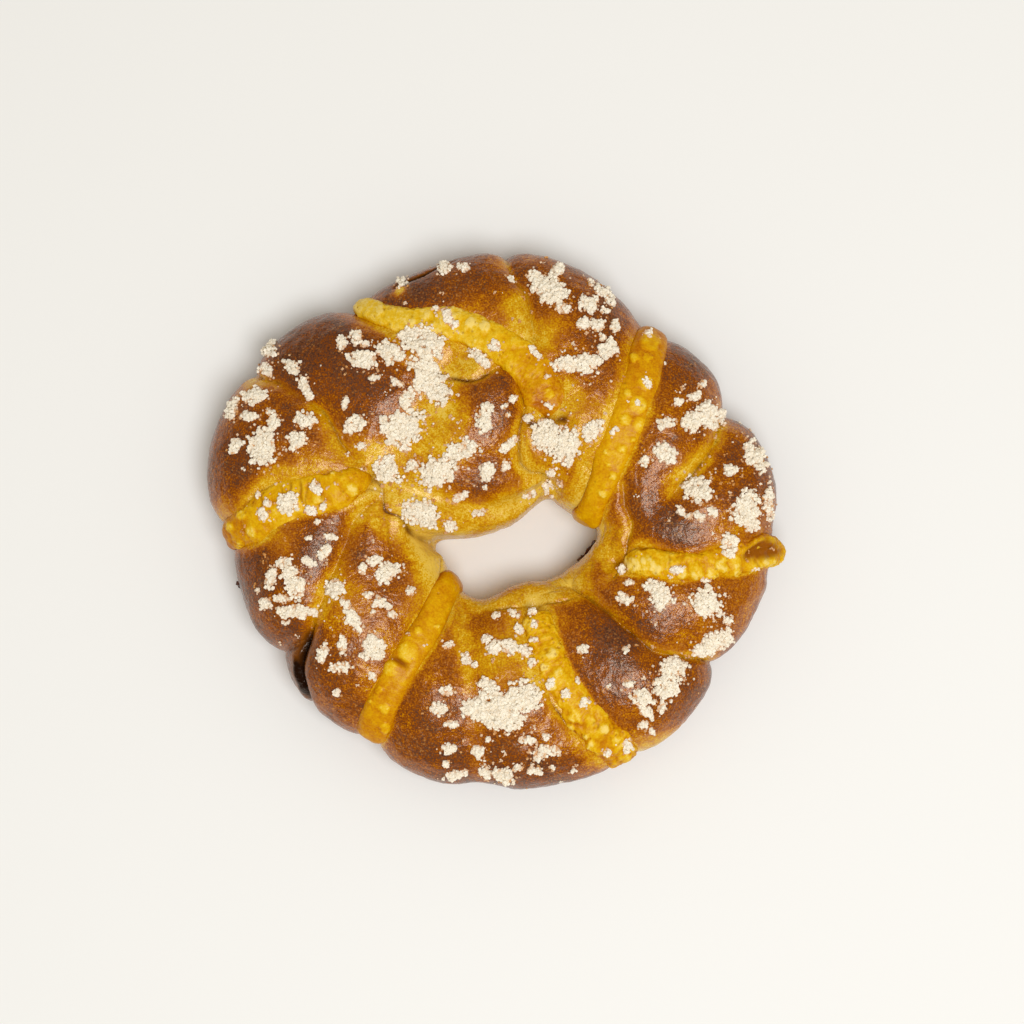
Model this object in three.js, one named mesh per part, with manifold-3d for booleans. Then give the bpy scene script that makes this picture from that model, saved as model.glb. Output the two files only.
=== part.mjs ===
// Sweet bread ring: a plaited loaf baked as a ring, with six strips of baked custard and clumps of sugar.
// Millimetres, +Z up. The loaf lies flat on z = 0, with the origin under the middle of its box.
//
// Places on the loaf are given as [degrees, over]. Degrees run anticlockwise about the middle of the hole.
// Over is the share of the way across the top: 0 at the waist in the hole, 1 at the outer waist.
// Below 0 and above 1 it runs down the wall, and the foot is a WALL share further on.
import * as THREE from 'three';
import { mergeVertices } from 'three/addons/utils/BufferGeometryUtils.js';
import Module from 'manifold-3d';

const wasm = await Module();
wasm.setup();

// Driving dimensions of the loaf
const HOLE_MIDDLE = [9.2, -13.9];
const WAIST_HEIGHT = 20;
const CROWN_HEIGHT = 50;
const CROWN_SWELL = 2.5;
const HIGHEST_AT = 115;
const TOP_ROUNDNESS = 0.88;
const WALL = 0.3;
const OUTER_TUCK = 11;
const HOLE_TUCK = 4;
const UNEVENNESS = 0.5;
const CREASE_ON_WALL = 0.9;
const CREASES_ADD = 0.25;

// How far the outer waist and the waist in the hole stand from the hole's middle: [degrees, mm]
const OUTER_REACH = [
  [4.5, 123], [11, 126.8], [26, 126], [33, 122.5], [42, 125.5], [56, 125], [61, 124.5], [66, 128],
  [77, 136.5], [88, 142], [100, 141.5], [114, 139], [124, 141], [134, 148.5], [146, 152], [160, 153],
  [171, 146.5], [179, 136], [186, 132], [196, 128.5], [206, 122.5], [216, 121.5], [228, 117], [233, 115],
  [242, 115.5], [262, 115], [278, 112.5], [295, 113.5], [311, 114.5], [332, 113], [345, 117.5],
  [351, 120], [355, 121.5], [359, 127.8],
];
const HOLE_REACH = [
  [2, 35], [12, 37], [22, 32], [46, 29.6], [57, 28.8], [69, 21], [80, 15.5], [100, 12], [125, 12],
  [148, 14.5], [165, 22], [173, 34.5], [190, 32.5], [207, 28.5], [222, 30], [238, 27.5], [255, 20],
  [275, 16.8], [296, 17], [316, 21.5], [343, 27.5], [352, 32],
];

// Where two strands of dough meet. Left and right are how far the dough rolls in on each side of the path.
// A soft crease is a rounded valley, and the others are sharp in the bottom.
const CREASES = [
  { name: 'under strip A', depth: 9, left: 20, right: 22,
    path: [[124, 1.2], [123, 0.92], [119.5, 0.78], [116, 0.73], [111.5, 0.7], [106, 0.67], [100.5, 0.63],
      [94, 0.59], [88, 0.55], [82, 0.51], [78, 0.46], [76, 0.41]] },
  { name: 'right edge of the big inner lobe', depth: 6, left: 10, right: 11,
    path: [[95, 0.53], [92, 0.53], [89.5, 0.51], [88, 0.48], [86.5, 0.44], [87, 0.4], [88, 0.35], [87, 0.3],
      [78.5, 0.26], [68, 0.23], [61, 0.17], [57, 0.08]] },
  { name: 'inner top lobe, top', depth: 4, left: 6, right: 7,
    path: [[86, 0.4], [76.5, 0.4], [70, 0.425], [66, 0.43]] },
  { name: 'between top lobes', depth: 6.5, left: 22, right: 14,
    path: [[93, 1.25], [92, 0.98], [91, 0.86], [90, 0.8], [88, 0.74], [86.5, 0.69], [85.5, 0.65],
      [85, 0.61]] },
  { name: 'crack in the top lobe', depth: 2, left: 3, right: 5,
    path: [[115, 0.9], [108, 0.9], [102, 0.93]] },
  { name: 'under strip B', depth: 9, left: 21, right: 23,
    path: [[57.5, 1.2], [57, 0.85], [55.5, 0.72], [52.5, 0.62], [50.5, 0.56], [48, 0.5], [45.5, 0.44],
      [42.5, 0.37], [37.5, 0.31], [31, 0.23], [23.5, 0.14], [18, 0], [17, -0.2]] },
  { name: 'between right lobes', depth: 8, left: 18, right: 20,
    path: [[34, 1.3], [33, 0.98], [31, 0.8], [28.5, 0.74], [26.5, 0.68], [25, 0.64], [23.5, 0.6],
      [21.5, 0.56], [20.5, 0.52], [18.5, 0.48]] },
  { name: 'under strip C', depth: 9, left: 18, right: 20,
    path: [[358, 1.25], [357.5, 0.97], [357, 0.82], [356, 0.7], [355.5, 0.62], [353.5, 0.56], [353, 0.48],
      [353.5, 0.4], [353, 0.32], [352.5, 0.25]] },
  { name: 'above the end of strip C', depth: 5, left: 9, right: 5,
    path: [[3.5, 1.3], [3.5, 1], [2.5, 0.92], [1, 0.86]] },
  { name: 'between lower right lobes', depth: 9, left: 16, right: 26,
    path: [[331, 1.3], [330, 0.98], [328.5, 0.79], [327, 0.72], [325.5, 0.67], [324, 0.62], [323, 0.57],
      [323, 0.52], [323.5, 0.47], [324.5, 0.41], [325, 0.35], [326, 0.29], [327, 0.21], [329, 0.11]] },
  { name: 'under strip D', depth: 9, left: 22, right: 21,
    path: [[299, 1.2], [297.5, 0.9], [296, 0.77], [294, 0.69], [291, 0.58], [288.5, 0.5], [287, 0.42],
      [286.5, 0.36], [287, 0.32], [288, 0.26], [289, 0.21]] },
  { name: 'between bottom lobes', depth: 4, left: 20, right: 20, soft: true,
    path: [[263, 1.2], [262, 0.98], [261, 0.89], [260, 0.77], [258, 0.67], [255.5, 0.58], [252, 0.51],
      [248, 0.44], [243, 0.37], [237, 0.29], [231, 0.2]] },
  { name: 'under strip E', depth: 9, left: 21, right: 22,
    path: [[234, 1.2], [232.5, 0.88], [231, 0.73], [229, 0.63], [227, 0.53], [225, 0.46], [223, 0.37],
      [220.5, 0.31], [217, 0.25], [212, 0.17], [206, 0.06], [203, -0.1]] },
  { name: 'between lower left lobes', depth: 7, left: 20, right: 16,
    path: [[204.5, 1.25], [204.5, 0.98], [204, 0.84], [203.5, 0.74], [202, 0.69], [199, 0.64],
      [195.5, 0.59], [190, 0.54], [184, 0.49], [177.5, 0.44], [170.5, 0.42], [165, 0.42], [161, 0.41]] },
  { name: 'split on the left', depth: 8, left: 6, right: 8,
    path: [[219, 1.3], [217.5, 1], [215, 0.93], [212, 0.88], [208.5, 0.82], [206, 0.77], [203.5, 0.71],
      [201.5, 0.66]] },
  { name: 'under strip F', depth: 9, left: 20, right: 22,
    path: [[178.5, 1.25], [177.5, 0.88], [176.5, 0.77], [175, 0.72], [172, 0.67], [169.5, 0.63],
      [167, 0.58], [165, 0.54], [161.5, 0.5], [156, 0.46], [152, 0.44]] },
  { name: 'between left lobes', depth: 6.5, left: 20, right: 18,
    path: [[147, 1.25], [146, 0.98], [146, 0.88], [144.5, 0.75], [144.5, 0.7], [145, 0.63], [147, 0.58],
      [150, 0.53], [151.5, 0.5]] },
  { name: 'behind the big inner lobe', depth: 4.5, left: 26, right: 16, soft: true,
    path: [[112, 0.57], [124, 0.5], [138, 0.46], [151, 0.43], [163, 0.38]] },
  { name: 'over the big inner lobe', depth: 6, left: 18, right: 8,
    path: [[118, 0.59], [114.5, 0.57], [112, 0.545], [109.5, 0.535], [105, 0.52], [100, 0.52], [96, 0.53]] },
  { name: 'rim under the big inner lobe', depth: 3.5, left: 10, right: 9, soft: true,
    path: [[152.5, 0.43], [152.5, 0.38], [150, 0.33], [144.5, 0.27], [138.5, 0.22], [124, 0.17], [90, 0.14],
      [68.5, 0.14], [60.5, 0.15]] },
  { name: 'knot', depth: 6, left: 12, right: 10,
    path: [[153, 0.46], [155, 0.43], [157.5, 0.41], [161.5, 0.39], [165, 0.37], [165.5, 0.34], [168, 0.3],
      [172.5, 0.23], [176, 0.12], [177, -0.1]] },
  { name: 'strand right of the hole', depth: 4.5, left: 12, right: 11,
    path: [[30, 0.36], [20, 0.31], [12, 0.29], [5, 0.28], [356, 0.27], [344, 0.3]] },
  { name: 'roll along the hole', depth: 4, left: 8, right: 9,
    path: [[249, 0.17], [265, 0.19], [285, 0.2], [304, 0.21], [318.5, 0.225], [326.5, 0.24]] },
];

// Where the dough stands up or sinks: [degrees, over, spread, rise]
const SWELLINGS = [
  [108, 0.42, 27, 4.5], [75, 0.78, 22, 2.5], [102, 0.85, 22, 1.5], [128, 0.68, 24, 2], [155, 0.75, 22, 1.5],
  [190, 0.62, 20, 2], [212, 0.62, 20, 2.5], [243, 0.6, 18, 1.5], [266, 0.52, 24, 2.5], [316, 0.6, 22, 2.5],
  [342, 0.64, 20, 1.5], [10, 0.62, 20, 2], [38, 0.62, 22, 2], [66, 0.4, 15, 3], [104, 0.6, 9, -3.5],
];

// Custard strips: [degrees, over, half width], outer end first
// A squareness under 1 flattens their tops, and at the inner end they dive into the dough
const STRIP_RISE = 6.5;
const STRIP_ROOT = 5;
const STRIP_SINK = 6;
const STRIP_SQUARENESS = 0.68;
const STRIP_END = 7;
const STRIP_DIVE = 2.5;
const STRIP_DIVE_FROM = 0.88;
const STRIPS = {
  custard_strip_top: [
    [123, 0.98, 4.5], [119.5, 0.81, 6.4], [116, 0.75, 7.2], [111.5, 0.72, 7.5], [106, 0.68, 8.5],
    [100.5, 0.64, 8.2], [94, 0.59, 8.6], [88, 0.55, 9.8], [82, 0.51, 10.9], [77.5, 0.46, 11],
    [76, 0.41, 9.5],
  ],
  custard_strip_upper_right: [
    [57.5, 0.99, 5.5], [57, 0.88, 8.2], [55.5, 0.75, 9.1], [52.5, 0.64, 9.3], [50.5, 0.57, 9.5],
    [48, 0.51, 9.3], [45.5, 0.45, 9.1], [42.5, 0.38, 8.2], [37.5, 0.32, 7.2], [31, 0.24, 6.5],
    [26, 0.18, 6.8], [20, 0.08, 7.4], [18.5, -0.08, 7],
  ],
  custard_strip_right: [
    [359.2, 1.01, 3], [359.2, 0.94, 4.8], [359, 0.87, 6.8], [358.6, 0.79, 8.6], [357.3, 0.74, 8.6],
    [356.2, 0.7, 7.8],
    [355.5, 0.63, 7.6], [354, 0.58, 7.2], [353, 0.5, 7.4], [353.5, 0.4, 7.3], [353, 0.34, 6.4],
    [352.5, 0.28, 4.5],
  ],
  custard_strip_lower_right: [
    [298, 1.0, 9], [297, 0.88, 9.2], [296, 0.79, 9.7], [294, 0.7, 9.5], [291, 0.58, 8.9], [288.5, 0.5, 8],
    [287.5, 0.43, 8.3], [286.5, 0.38, 8.7], [287, 0.33, 8.3], [288, 0.27, 6.8], [289, 0.22, 5],
  ],
  custard_strip_lower_left: [
    [232.5, 0.96, 8], [232, 0.83, 8.3], [231, 0.75, 8.5], [229.5, 0.66, 8.3], [227.5, 0.56, 7.8],
    [225.5, 0.48, 8], [223, 0.38, 7.5], [220.5, 0.31, 7.1], [217, 0.25, 7.1], [213, 0.19, 7.1],
    [208, 0.1, 6.8], [206, -0.06, 6.5],
  ],
  custard_strip_left: [
    [178.5, 1.03, 6.5], [177.5, 0.9, 8], [176, 0.79, 9], [175, 0.73, 9.5], [172, 0.67, 10],
    [169.5, 0.62, 10], [167.5, 0.59, 10], [165, 0.54, 10], [162, 0.505, 9.4], [158, 0.48, 7.5],
    [154, 0.45, 4.5],
  ],
};

// Sugar clumps too large to be crumbs: [degrees, over, length, width, turn, lift]
// The turn is from the outward direction, and a clump on a strip is lifted to the strip's top.
const CLUMP_HEIGHT = 4;
const CLUMPS = [
  [82, 0.75, 24, 15, 30], [69, 0.6, 29, 11, 75], [68, 0.36, 33, 25, 0], [115, 0.66, 26, 13, 90],
  [116, 0.56, 27, 17, 0], [122, 0.66, 15, 11, 50], [133, 0.48, 22, 17, 0], [125, 0.37, 25, 14, -70],
  [149, 0.43, 16, 12, -40], [160, 0.3, 19, 15, 0], [158, 0.7, 21, 13, 90], [169, 0.6, 14, 12, 0, 9],
  [186, 0.68, 20, 18, 0], [196, 0.68, 18, 9, 0], [215, 0.53, 17, 13, 0], [191, 0.36, 14, 12, 0],
  [266, 0.56, 37, 22, 90], [266, 0.82, 24, 9, 90], [277, 0.7, 18, 9, 90], [320, 0.69, 19, 15, 0],
  [310, 0.67, 13, 11, 0], [335, 0.78, 17, 12, 60], [342, 0.5, 15, 14, 0], [344, 0.64, 15, 14, 0],
  [9, 0.7, 18, 14, 90], [18, 0.56, 14, 12, 0], [21, 0.83, 19, 9, 90], [35, 0.7, 23, 13, -40],
];

// Crumbs of sugar baked onto the dough: [degrees, over, size]
const CRUMB_WIDTH = 0.8;
const CRUMB_HEIGHT = 0.35;
const CRUMBS = [
  [32, 0.54, 10], [33, 0.87, 6], [56, 0.42, 10], [66, 0.75, 5], [73, 0.76, 9], [92, 0.36, 6], [101, 0.57, 9],
  [104, 0.42, 11], [104, 0.87, 7], [110, 0.3, 8], [127, 0.74, 7], [137, 0.26, 6], [142, 0.55, 10], [143, 0.7, 8],
  [144, 0.86, 6], [149, 0.64, 9], [150, 0.81, 10], [154, 0.87, 8], [181, 0.52, 6], [193, 0.53, 10],
  [202, 0.53, 10], [214, 0.66, 7], [244, 0.59, 8], [252, 0.72, 6], [255, 0.86, 7], [267, 0.37, 8],
  [335, 0.4, 7],
];

// How finely the faceted solids are drawn
const ROUND_THE_RING = 92;
const OVER_THE_TOP = 26;
const BASE_COLUMNS = 2;
const STRIP_SIDES = 8;
const STRIP_STEPS = 14;
const CLUMP_DETAIL = 1;
const GAP = 0.3;

const radians = (degrees) => THREE.MathUtils.degToRad(degrees);
const clamp = THREE.MathUtils.clamp;

// A repeatable number between -1 and 1 that wanders with the place
function wander(x, y, z, size) {
  const a = Math.sin(x / size + 1.7 * Math.sin(y / size + 0.6));
  const b = Math.sin(y / size * 1.3 + 2.1 * Math.cos(z / size));
  const c = Math.sin(z / size * 1.1 + 1.3 * Math.sin(x / size * 0.8 + 2));
  return (a + b + c) / 3;
}

// A smooth value round the ring through [degrees, value] pairs
function roundTheRing(table, degrees) {
  const count = table.length;
  const turn = ((degrees % 360) + 360) % 360;
  let i = table.findLastIndex((row) => row[0] <= turn);
  if (i < 0) i = count - 1;
  const [before, start, end, after] = [-1, 0, 1, 2].map((step) => table[(i + step + count) % count]);
  const gap = (a, b) => (((b[0] - a[0]) % 360) + 360) % 360;
  const span = gap(start, end);
  const share = ((turn - start[0] + 360) % 360) / span;
  const slope = (end[1] - start[1]) / span;
  const slopeIn = (slope + (start[1] - before[1]) / gap(before, start)) / 2;
  const slopeOut = (slope + (after[1] - end[1]) / gap(end, after)) / 2;
  const rest = 1 - share;
  return start[1] * rest * rest * (1 + 2 * share) + end[1] * share * share * (1 + 2 * rest)
    + span * share * rest * (slopeIn * rest - slopeOut * share);
}

// A point of the smooth ring that the plaited loaf is formed on
function ringPoint(degrees, over) {
  const outer = roundTheRing(OUTER_REACH, degrees);
  const hole = roundTheRing(HOLE_REACH, degrees);
  const crown = CROWN_HEIGHT + CROWN_SWELL * Math.cos(radians(degrees - HIGHEST_AT));
  const share = clamp(over, 0, 1);
  let reach = hole + (outer - hole) * (1 - Math.cos(Math.PI * share)) / 2;
  let height = WAIST_HEIGHT + (crown - WAIST_HEIGHT) * Math.sin(Math.PI * share) ** TOP_ROUNDNESS;
  if (over < 0 || over > 1) {
    const down = Math.min((over < 0 ? -over : over - 1) / WALL, 1) * Math.PI / 2;
    reach += (over < 0 ? HOLE_TUCK : -OUTER_TUCK) * (1 - Math.cos(down));
    height = WAIST_HEIGHT * (1 - Math.sin(down));
  }
  const [x, y] = HOLE_MIDDLE;
  const turn = radians(degrees);
  return new THREE.Vector3(x + reach * Math.cos(turn), y + reach * Math.sin(turn), height);
}

// The outward direction of the smooth ring, from points a little to each side
function ringNormal(degrees, over) {
  const along = ringPoint(degrees + 0.5, over).sub(ringPoint(degrees - 0.5, over));
  const across = ringPoint(degrees, over + 0.01).sub(ringPoint(degrees, over - 0.01));
  return across.cross(along).normalize();
}

// Shares from 0 to 1 in even steps, and in steps that grow shorter towards both ends
const evenShares = (count) => Array.from({ length: count + 1 }, (_, i) => i / count);
const easedShares = (count) => evenShares(count).map((share) => (1 - Math.cos(Math.PI * share)) / 2);

// Points at shares of the way along a smooth path of [degrees, over, ...] rows
function smoothPath(rows, shares) {
  const unrolled = rows.map((row, i) => {
    const turns = i && Math.round((rows[0][0] - row[0]) / 360);
    return new THREE.Vector3(row[0] + 360 * (turns || 0), row[1] * 100, row[2] ?? 0);
  });
  const curve = new THREE.CatmullRomCurve3(unrolled, false, 'centripetal');
  return shares.map((share) => curve.getPoint(share))
    .map((p) => ({ degrees: p.x, over: p.y / 100, width: p.z }));
}

const creaseLines = CREASES.map((crease) => {
  const path = smoothPath(crease.path, evenShares(crease.path.length * 2));
  const points = path.map((p) => ringPoint(p.degrees, p.over));
  return { ...crease, points };
});

// How far a crease draws the dough in at a point of the ring, rounded on each side of the path
function creaseDepth(crease, point, normal) {
  let nearest = Infinity;
  let side = 0;
  for (let i = 1; i < crease.points.length; i += 1) {
    const start = crease.points[i - 1];
    const step = crease.points[i].clone().sub(start);
    const share = clamp(point.clone().sub(start).dot(step) / step.lengthSq(), 0, 1);
    const apart = point.clone().sub(start).addScaledVector(step, -share);
    if (apart.lengthSq() < nearest) {
      nearest = apart.lengthSq();
      side = apart.dot(normal.clone().cross(step));
    }
  }
  const width = side > 0 ? crease.left : crease.right;
  const away = Math.sqrt(nearest) / width;
  if (away > 1) return 0;
  return crease.depth * (crease.soft ? (1 - away ** 2) ** 2 : 1 - Math.sqrt(1 - (1 - away) ** 2));
}

// A point on the loaf's crust, with anything that grows it standing off outwards
function crustPoint(degrees, over, growth = 0) {
  const point = ringPoint(degrees, over);
  const normal = ringNormal(degrees, over);
  let move = UNEVENNESS * wander(point.x, point.y, point.z, 9);
  const upward = clamp(normal.z, 0, 1);
  for (const [d, o, spread, rise] of SWELLINGS) {
    const away = point.distanceTo(ringPoint(d, o)) / spread;
    move += rise * upward * Math.exp(-away * away);
  }
  let deepest = 0;
  let total = 0;
  for (const crease of creaseLines) {
    const depth = creaseDepth(crease, point, normal);
    deepest = Math.max(deepest, depth);
    total += depth;
  }
  const onWall = CREASE_ON_WALL + (1 - CREASE_ON_WALL) * upward;
  move += growth - onWall * (deepest + CREASES_ADD * (total - deepest));
  const aboveFloor = clamp(point.z / 8, 0, 1);
  return new THREE.Vector3(
    point.x + normal.x * move,
    point.y + normal.y * move,
    Math.max(point.z + normal.z * move * aboveFloor, growth ? -1 : 0),
  );
}

// A closed geometry with only positions, its shared corners merged
function closed(geometry) {
  geometry.deleteAttribute('normal');
  geometry.deleteAttribute('uv');
  return mergeVertices(geometry, 1e-4);
}

function toSolid(geometry) {
  return new wasm.Manifold(new wasm.Mesh({
    numProp: 3,
    vertProperties: new Float32Array(geometry.attributes.position.array),
    triVerts: new Uint32Array(geometry.index.array),
  }));
}

function toGeometry(solid) {
  const { vertProperties, triVerts } = solid.getMesh();
  const geometry = new THREE.BufferGeometry();
  geometry.setAttribute('position', new THREE.BufferAttribute(new Float32Array(vertProperties), 3));
  geometry.setIndex(new THREE.BufferAttribute(new Uint32Array(triVerts), 1));
  return mergeVertices(geometry, 1e-3);
}

// The largest body of a cut solid, without the scraps
function largest(solid) {
  const bodies = solid.decompose();
  return bodies.reduce((a, b) => (b.volume() > a.volume() ? b : a));
}

// The whole loaf: a torus whose rings run from the outer foot over the top into the hole and back under
function loafSolid(growth = 0) {
  const rows = OVER_THE_TOP + BASE_COLUMNS;
  const torus = new THREE.TorusGeometry(1, 0.4, rows, ROUND_THE_RING);
  const { position, uv } = torus.attributes;
  for (let i = 0; i < position.count; i += 1) {
    const degrees = (uv.getX(i) % 1) * 360;
    const row = Math.round(uv.getY(i) * rows) % rows;
    const over = 1 + WALL - (row / OVER_THE_TOP) * (1 + 2 * WALL);
    let point;
    if (row <= OVER_THE_TOP) {
      point = crustPoint(degrees, over, growth);
    } else {
      const share = (row - OVER_THE_TOP) / BASE_COLUMNS;
      point = crustPoint(degrees, -WALL, growth).lerp(crustPoint(degrees, 1 + WALL, growth), share);
    }
    position.setXYZ(i, point.x, point.y, point.z);
  }
  return toSolid(closed(torus));
}

// A strip of custard along its path: a sphere drawn out, with a flattened top, round ends and a root below
function stripSolid(rows, growth = 0) {
  const ball = new THREE.SphereGeometry(1, STRIP_SIDES, STRIP_STEPS);
  const shares = easedShares(STRIP_STEPS);
  const path = smoothPath(rows, shares);
  const normals = path.map((p) => ringNormal(p.degrees, p.over));
  const spine = path.map((p, i) => {
    const dive = STRIP_DIVE * THREE.MathUtils.smoothstep(shares[i], STRIP_DIVE_FROM, 1);
    return ringPoint(p.degrees, p.over).addScaledVector(normals[i], -STRIP_SINK - dive);
  });
  const run = [0];
  spine.slice(1).forEach((point, i) => run.push(run[i] + point.distanceTo(spine[i])));
  const squared = (x) => Math.sign(x) * Math.abs(x) ** STRIP_SQUARENESS;
  const { position, uv } = ball.attributes;
  for (let i = 0; i < position.count; i += 1) {
    const step = Math.round((1 - uv.getY(i)) * STRIP_STEPS);
    const before = spine[Math.max(step - 1, 0)];
    const after = spine[Math.min(step + 1, STRIP_STEPS)];
    const forward = after.clone().sub(before).normalize();
    const sideways = forward.clone().cross(normals[step]).normalize();
    const turn = uv.getX(i) * 2 * Math.PI;
    const end = Math.min(run[step], run[STRIP_STEPS] - run[step]) / STRIP_END;
    const fullness = Math.sqrt(1 - (1 - Math.min(end, 1)) ** 2);
    const grown = step % STRIP_STEPS ? growth : 0;
    const lumps = 1 + 0.06 * wander(spine[step].x, spine[step].y, 9 * Math.cos(turn), 5);
    const across = squared(Math.cos(turn)) * (path[step].width * lumps * fullness + grown);
    const up = squared(Math.sin(turn)) * ((Math.sin(turn) > 0 ? STRIP_RISE : STRIP_ROOT) * fullness + grown);
    const point = spine[step].clone().addScaledVector(sideways, across).addScaledVector(normals[step], up);
    if (step === 0) point.addScaledVector(forward, -growth);
    if (step === STRIP_STEPS) point.addScaledVector(forward, growth);
    position.setXYZ(i, point.x, point.y, point.z);
  }
  return toSolid(closed(ball));
}

// A lump of sugar sitting on the crust, its outline broken up
function clumpSolid([degrees, over, length, width, turn = 0, lift = 0], height, detail, growth = 0) {
  const lump = closed(new THREE.IcosahedronGeometry(1, detail));
  const outward = ringPoint(degrees, over + 0.01).sub(ringPoint(degrees, over - 0.01)).normalize();
  const normal = ringNormal(degrees, over);
  const sideways = normal.clone().cross(outward);
  const centre = crustPoint(degrees, over);
  const places = lump.attributes.position;
  for (let i = 0; i < places.count; i += 1) {
    const corner = new THREE.Vector3().fromBufferAttribute(places, i);
    const ragged = 1 + 0.22 * wander(corner.x * 9 + degrees, corner.y * 9, corner.z * 9 + over * 50, 3);
    const a = corner.x * (ragged * length / 2 + growth);
    const b = corner.y * (ragged * width / 2 + growth);
    const cos = Math.cos(radians(turn));
    const sin = Math.sin(radians(turn));
    const point = centre.clone()
      .addScaledVector(outward, a * cos - b * sin)
      .addScaledVector(sideways, a * sin + b * cos)
      .addScaledVector(normal, corner.z * (ragged * height + growth) + lift);
    places.setXYZ(i, point.x, point.y, point.z);
  }
  return toSolid(lump);
}

// A dull or softly glossy finish of one colour
function finish(name, color, roughness) {
  return new THREE.MeshStandardMaterial({ name, color, roughness, metalness: 0 });
}

const CRUST = finish('crust', 0x87501c, 0.45);
const CUSTARD = finish('custard', 0xd89a12, 0.5);
const SUGAR = finish('sugar', 0xece3d0, 0.7);

const loaf = new THREE.Group();
loaf.name = 'sweet_bread_ring';

function addNode(name, solid, material) {
  const mesh = new THREE.Mesh(toGeometry(solid), material);
  mesh.name = name;
  loaf.add(mesh);
}

const crumbSolid = ([degrees, over, size], growth = 0) => (
  clumpSolid([degrees, over, size, size * CRUMB_WIDTH], size * CRUMB_HEIGHT, 0, growth));

const strips = Object.values(STRIPS).map((rows) => stripSolid(rows));
const seats = Object.values(STRIPS).map((rows) => stripSolid(rows, GAP));

let bread = loafSolid();
CRUMBS.forEach((crumb) => { bread = bread.add(crumbSolid(crumb)); });
seats.forEach((seat) => { bread = bread.subtract(seat); });

// Sugar is cut off a little above whatever it lies on, and beside the sugar already placed
let taken = loafSolid(GAP);
CRUMBS.forEach((crumb) => { taken = taken.add(crumbSolid(crumb, GAP)); });
seats.forEach((seat) => { taken = taken.add(seat); });
const clumps = CLUMPS.map((clump) => {
  const solid = largest(clumpSolid(clump, CLUMP_HEIGHT, CLUMP_DETAIL).subtract(taken));
  taken = taken.add(clumpSolid(clump, CLUMP_HEIGHT, CLUMP_DETAIL, GAP));
  return solid;
});

addNode('bread', largest(bread), CRUST);
Object.keys(STRIPS).forEach((name, i) => addNode(name, strips[i], CUSTARD));
clumps.forEach((clump, i) => addNode(`sugar_clump_${String(i + 1).padStart(2, '0')}`, clump, SUGAR));

export default loaf;
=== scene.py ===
"""Looks of the sweet bread ring: its crust, baked custard strips and sugar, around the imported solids.

Places on the loaf are (degrees, over), as in the part's source. Degrees run anticlockwise about the middle
of the hole. Over is 0 at the waist in the hole and 1 at the outer waist, and runs on down the walls past
either end. Shapes are worked out in millimetres and become metres when a mesh is made.
"""
import math
from collections import namedtuple

import bpy
import numpy as np
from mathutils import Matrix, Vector, noise


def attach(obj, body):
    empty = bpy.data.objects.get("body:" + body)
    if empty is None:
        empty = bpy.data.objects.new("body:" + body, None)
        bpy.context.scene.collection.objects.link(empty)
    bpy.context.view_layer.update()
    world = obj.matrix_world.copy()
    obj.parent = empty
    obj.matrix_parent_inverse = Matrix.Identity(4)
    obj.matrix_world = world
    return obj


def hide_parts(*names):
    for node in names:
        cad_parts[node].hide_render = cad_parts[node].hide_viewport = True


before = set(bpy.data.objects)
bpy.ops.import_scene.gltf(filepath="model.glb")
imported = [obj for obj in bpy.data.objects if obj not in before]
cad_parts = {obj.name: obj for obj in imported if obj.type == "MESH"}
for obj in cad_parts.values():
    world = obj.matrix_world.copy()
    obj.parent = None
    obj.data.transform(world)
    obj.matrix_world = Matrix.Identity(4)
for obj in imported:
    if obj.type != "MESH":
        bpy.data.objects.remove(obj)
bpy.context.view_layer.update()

MM = 0.001

# The photograph is 1024 pixels wide, and its middle looks at this point from nearly overhead
PHOTO_WIDTH = 1024
MM_PER_PIXEL = 0.474
LOAF_MIDDLE_PIXEL = (495.5, 520.3)
PHOTO_MIDDLE_PIXEL = (512, 512)
CAMERA_DISTANCE = 1300
CAMERA_ELEVATION = 87
LOAF_MID_HEIGHT = 22

# The loaf's driving dimensions, the same as its solids'
HOLE_MIDDLE = (9.2, -13.9)
WAIST_HEIGHT = 20
CROWN_HEIGHT = 50
CROWN_SWELL = 2.5
HIGHEST_AT = 115
TOP_ROUNDNESS = 0.88
WALL = 0.3
OUTER_TUCK = 11
HOLE_TUCK = 4
UNEVENNESS = 0.5
CREASE_ON_WALL = 0.9
CREASES_ADD = 0.25
OUTER_REACH = (
    (4.5, 123), (11, 126.8), (26, 126), (33, 122.5), (42, 125.5), (56, 125), (61, 124.5), (66, 128),
    (77, 136.5), (88, 142), (100, 141.5), (114, 139), (124, 141), (134, 148.5), (146, 152), (160, 153),
    (171, 146.5), (179, 136), (186, 132), (196, 128.5), (206, 122.5), (216, 121.5), (228, 117), (233, 115),
    (242, 115.5), (262, 115), (278, 112.5), (295, 113.5), (311, 114.5), (332, 113), (345, 117.5),
    (351, 120), (355, 121.5), (359, 127.8),
)
HOLE_REACH = (
    (2, 35), (12, 37), (22, 32), (46, 29.6), (57, 28.8), (69, 21), (80, 15.5), (100, 12), (125, 12),
    (148, 14.5), (165, 22), (173, 34.5), (190, 32.5), (207, 28.5), (222, 30), (238, 27.5), (255, 20),
    (275, 16.8), (296, 17), (316, 21.5), (343, 27.5), (352, 32),
)

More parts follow.
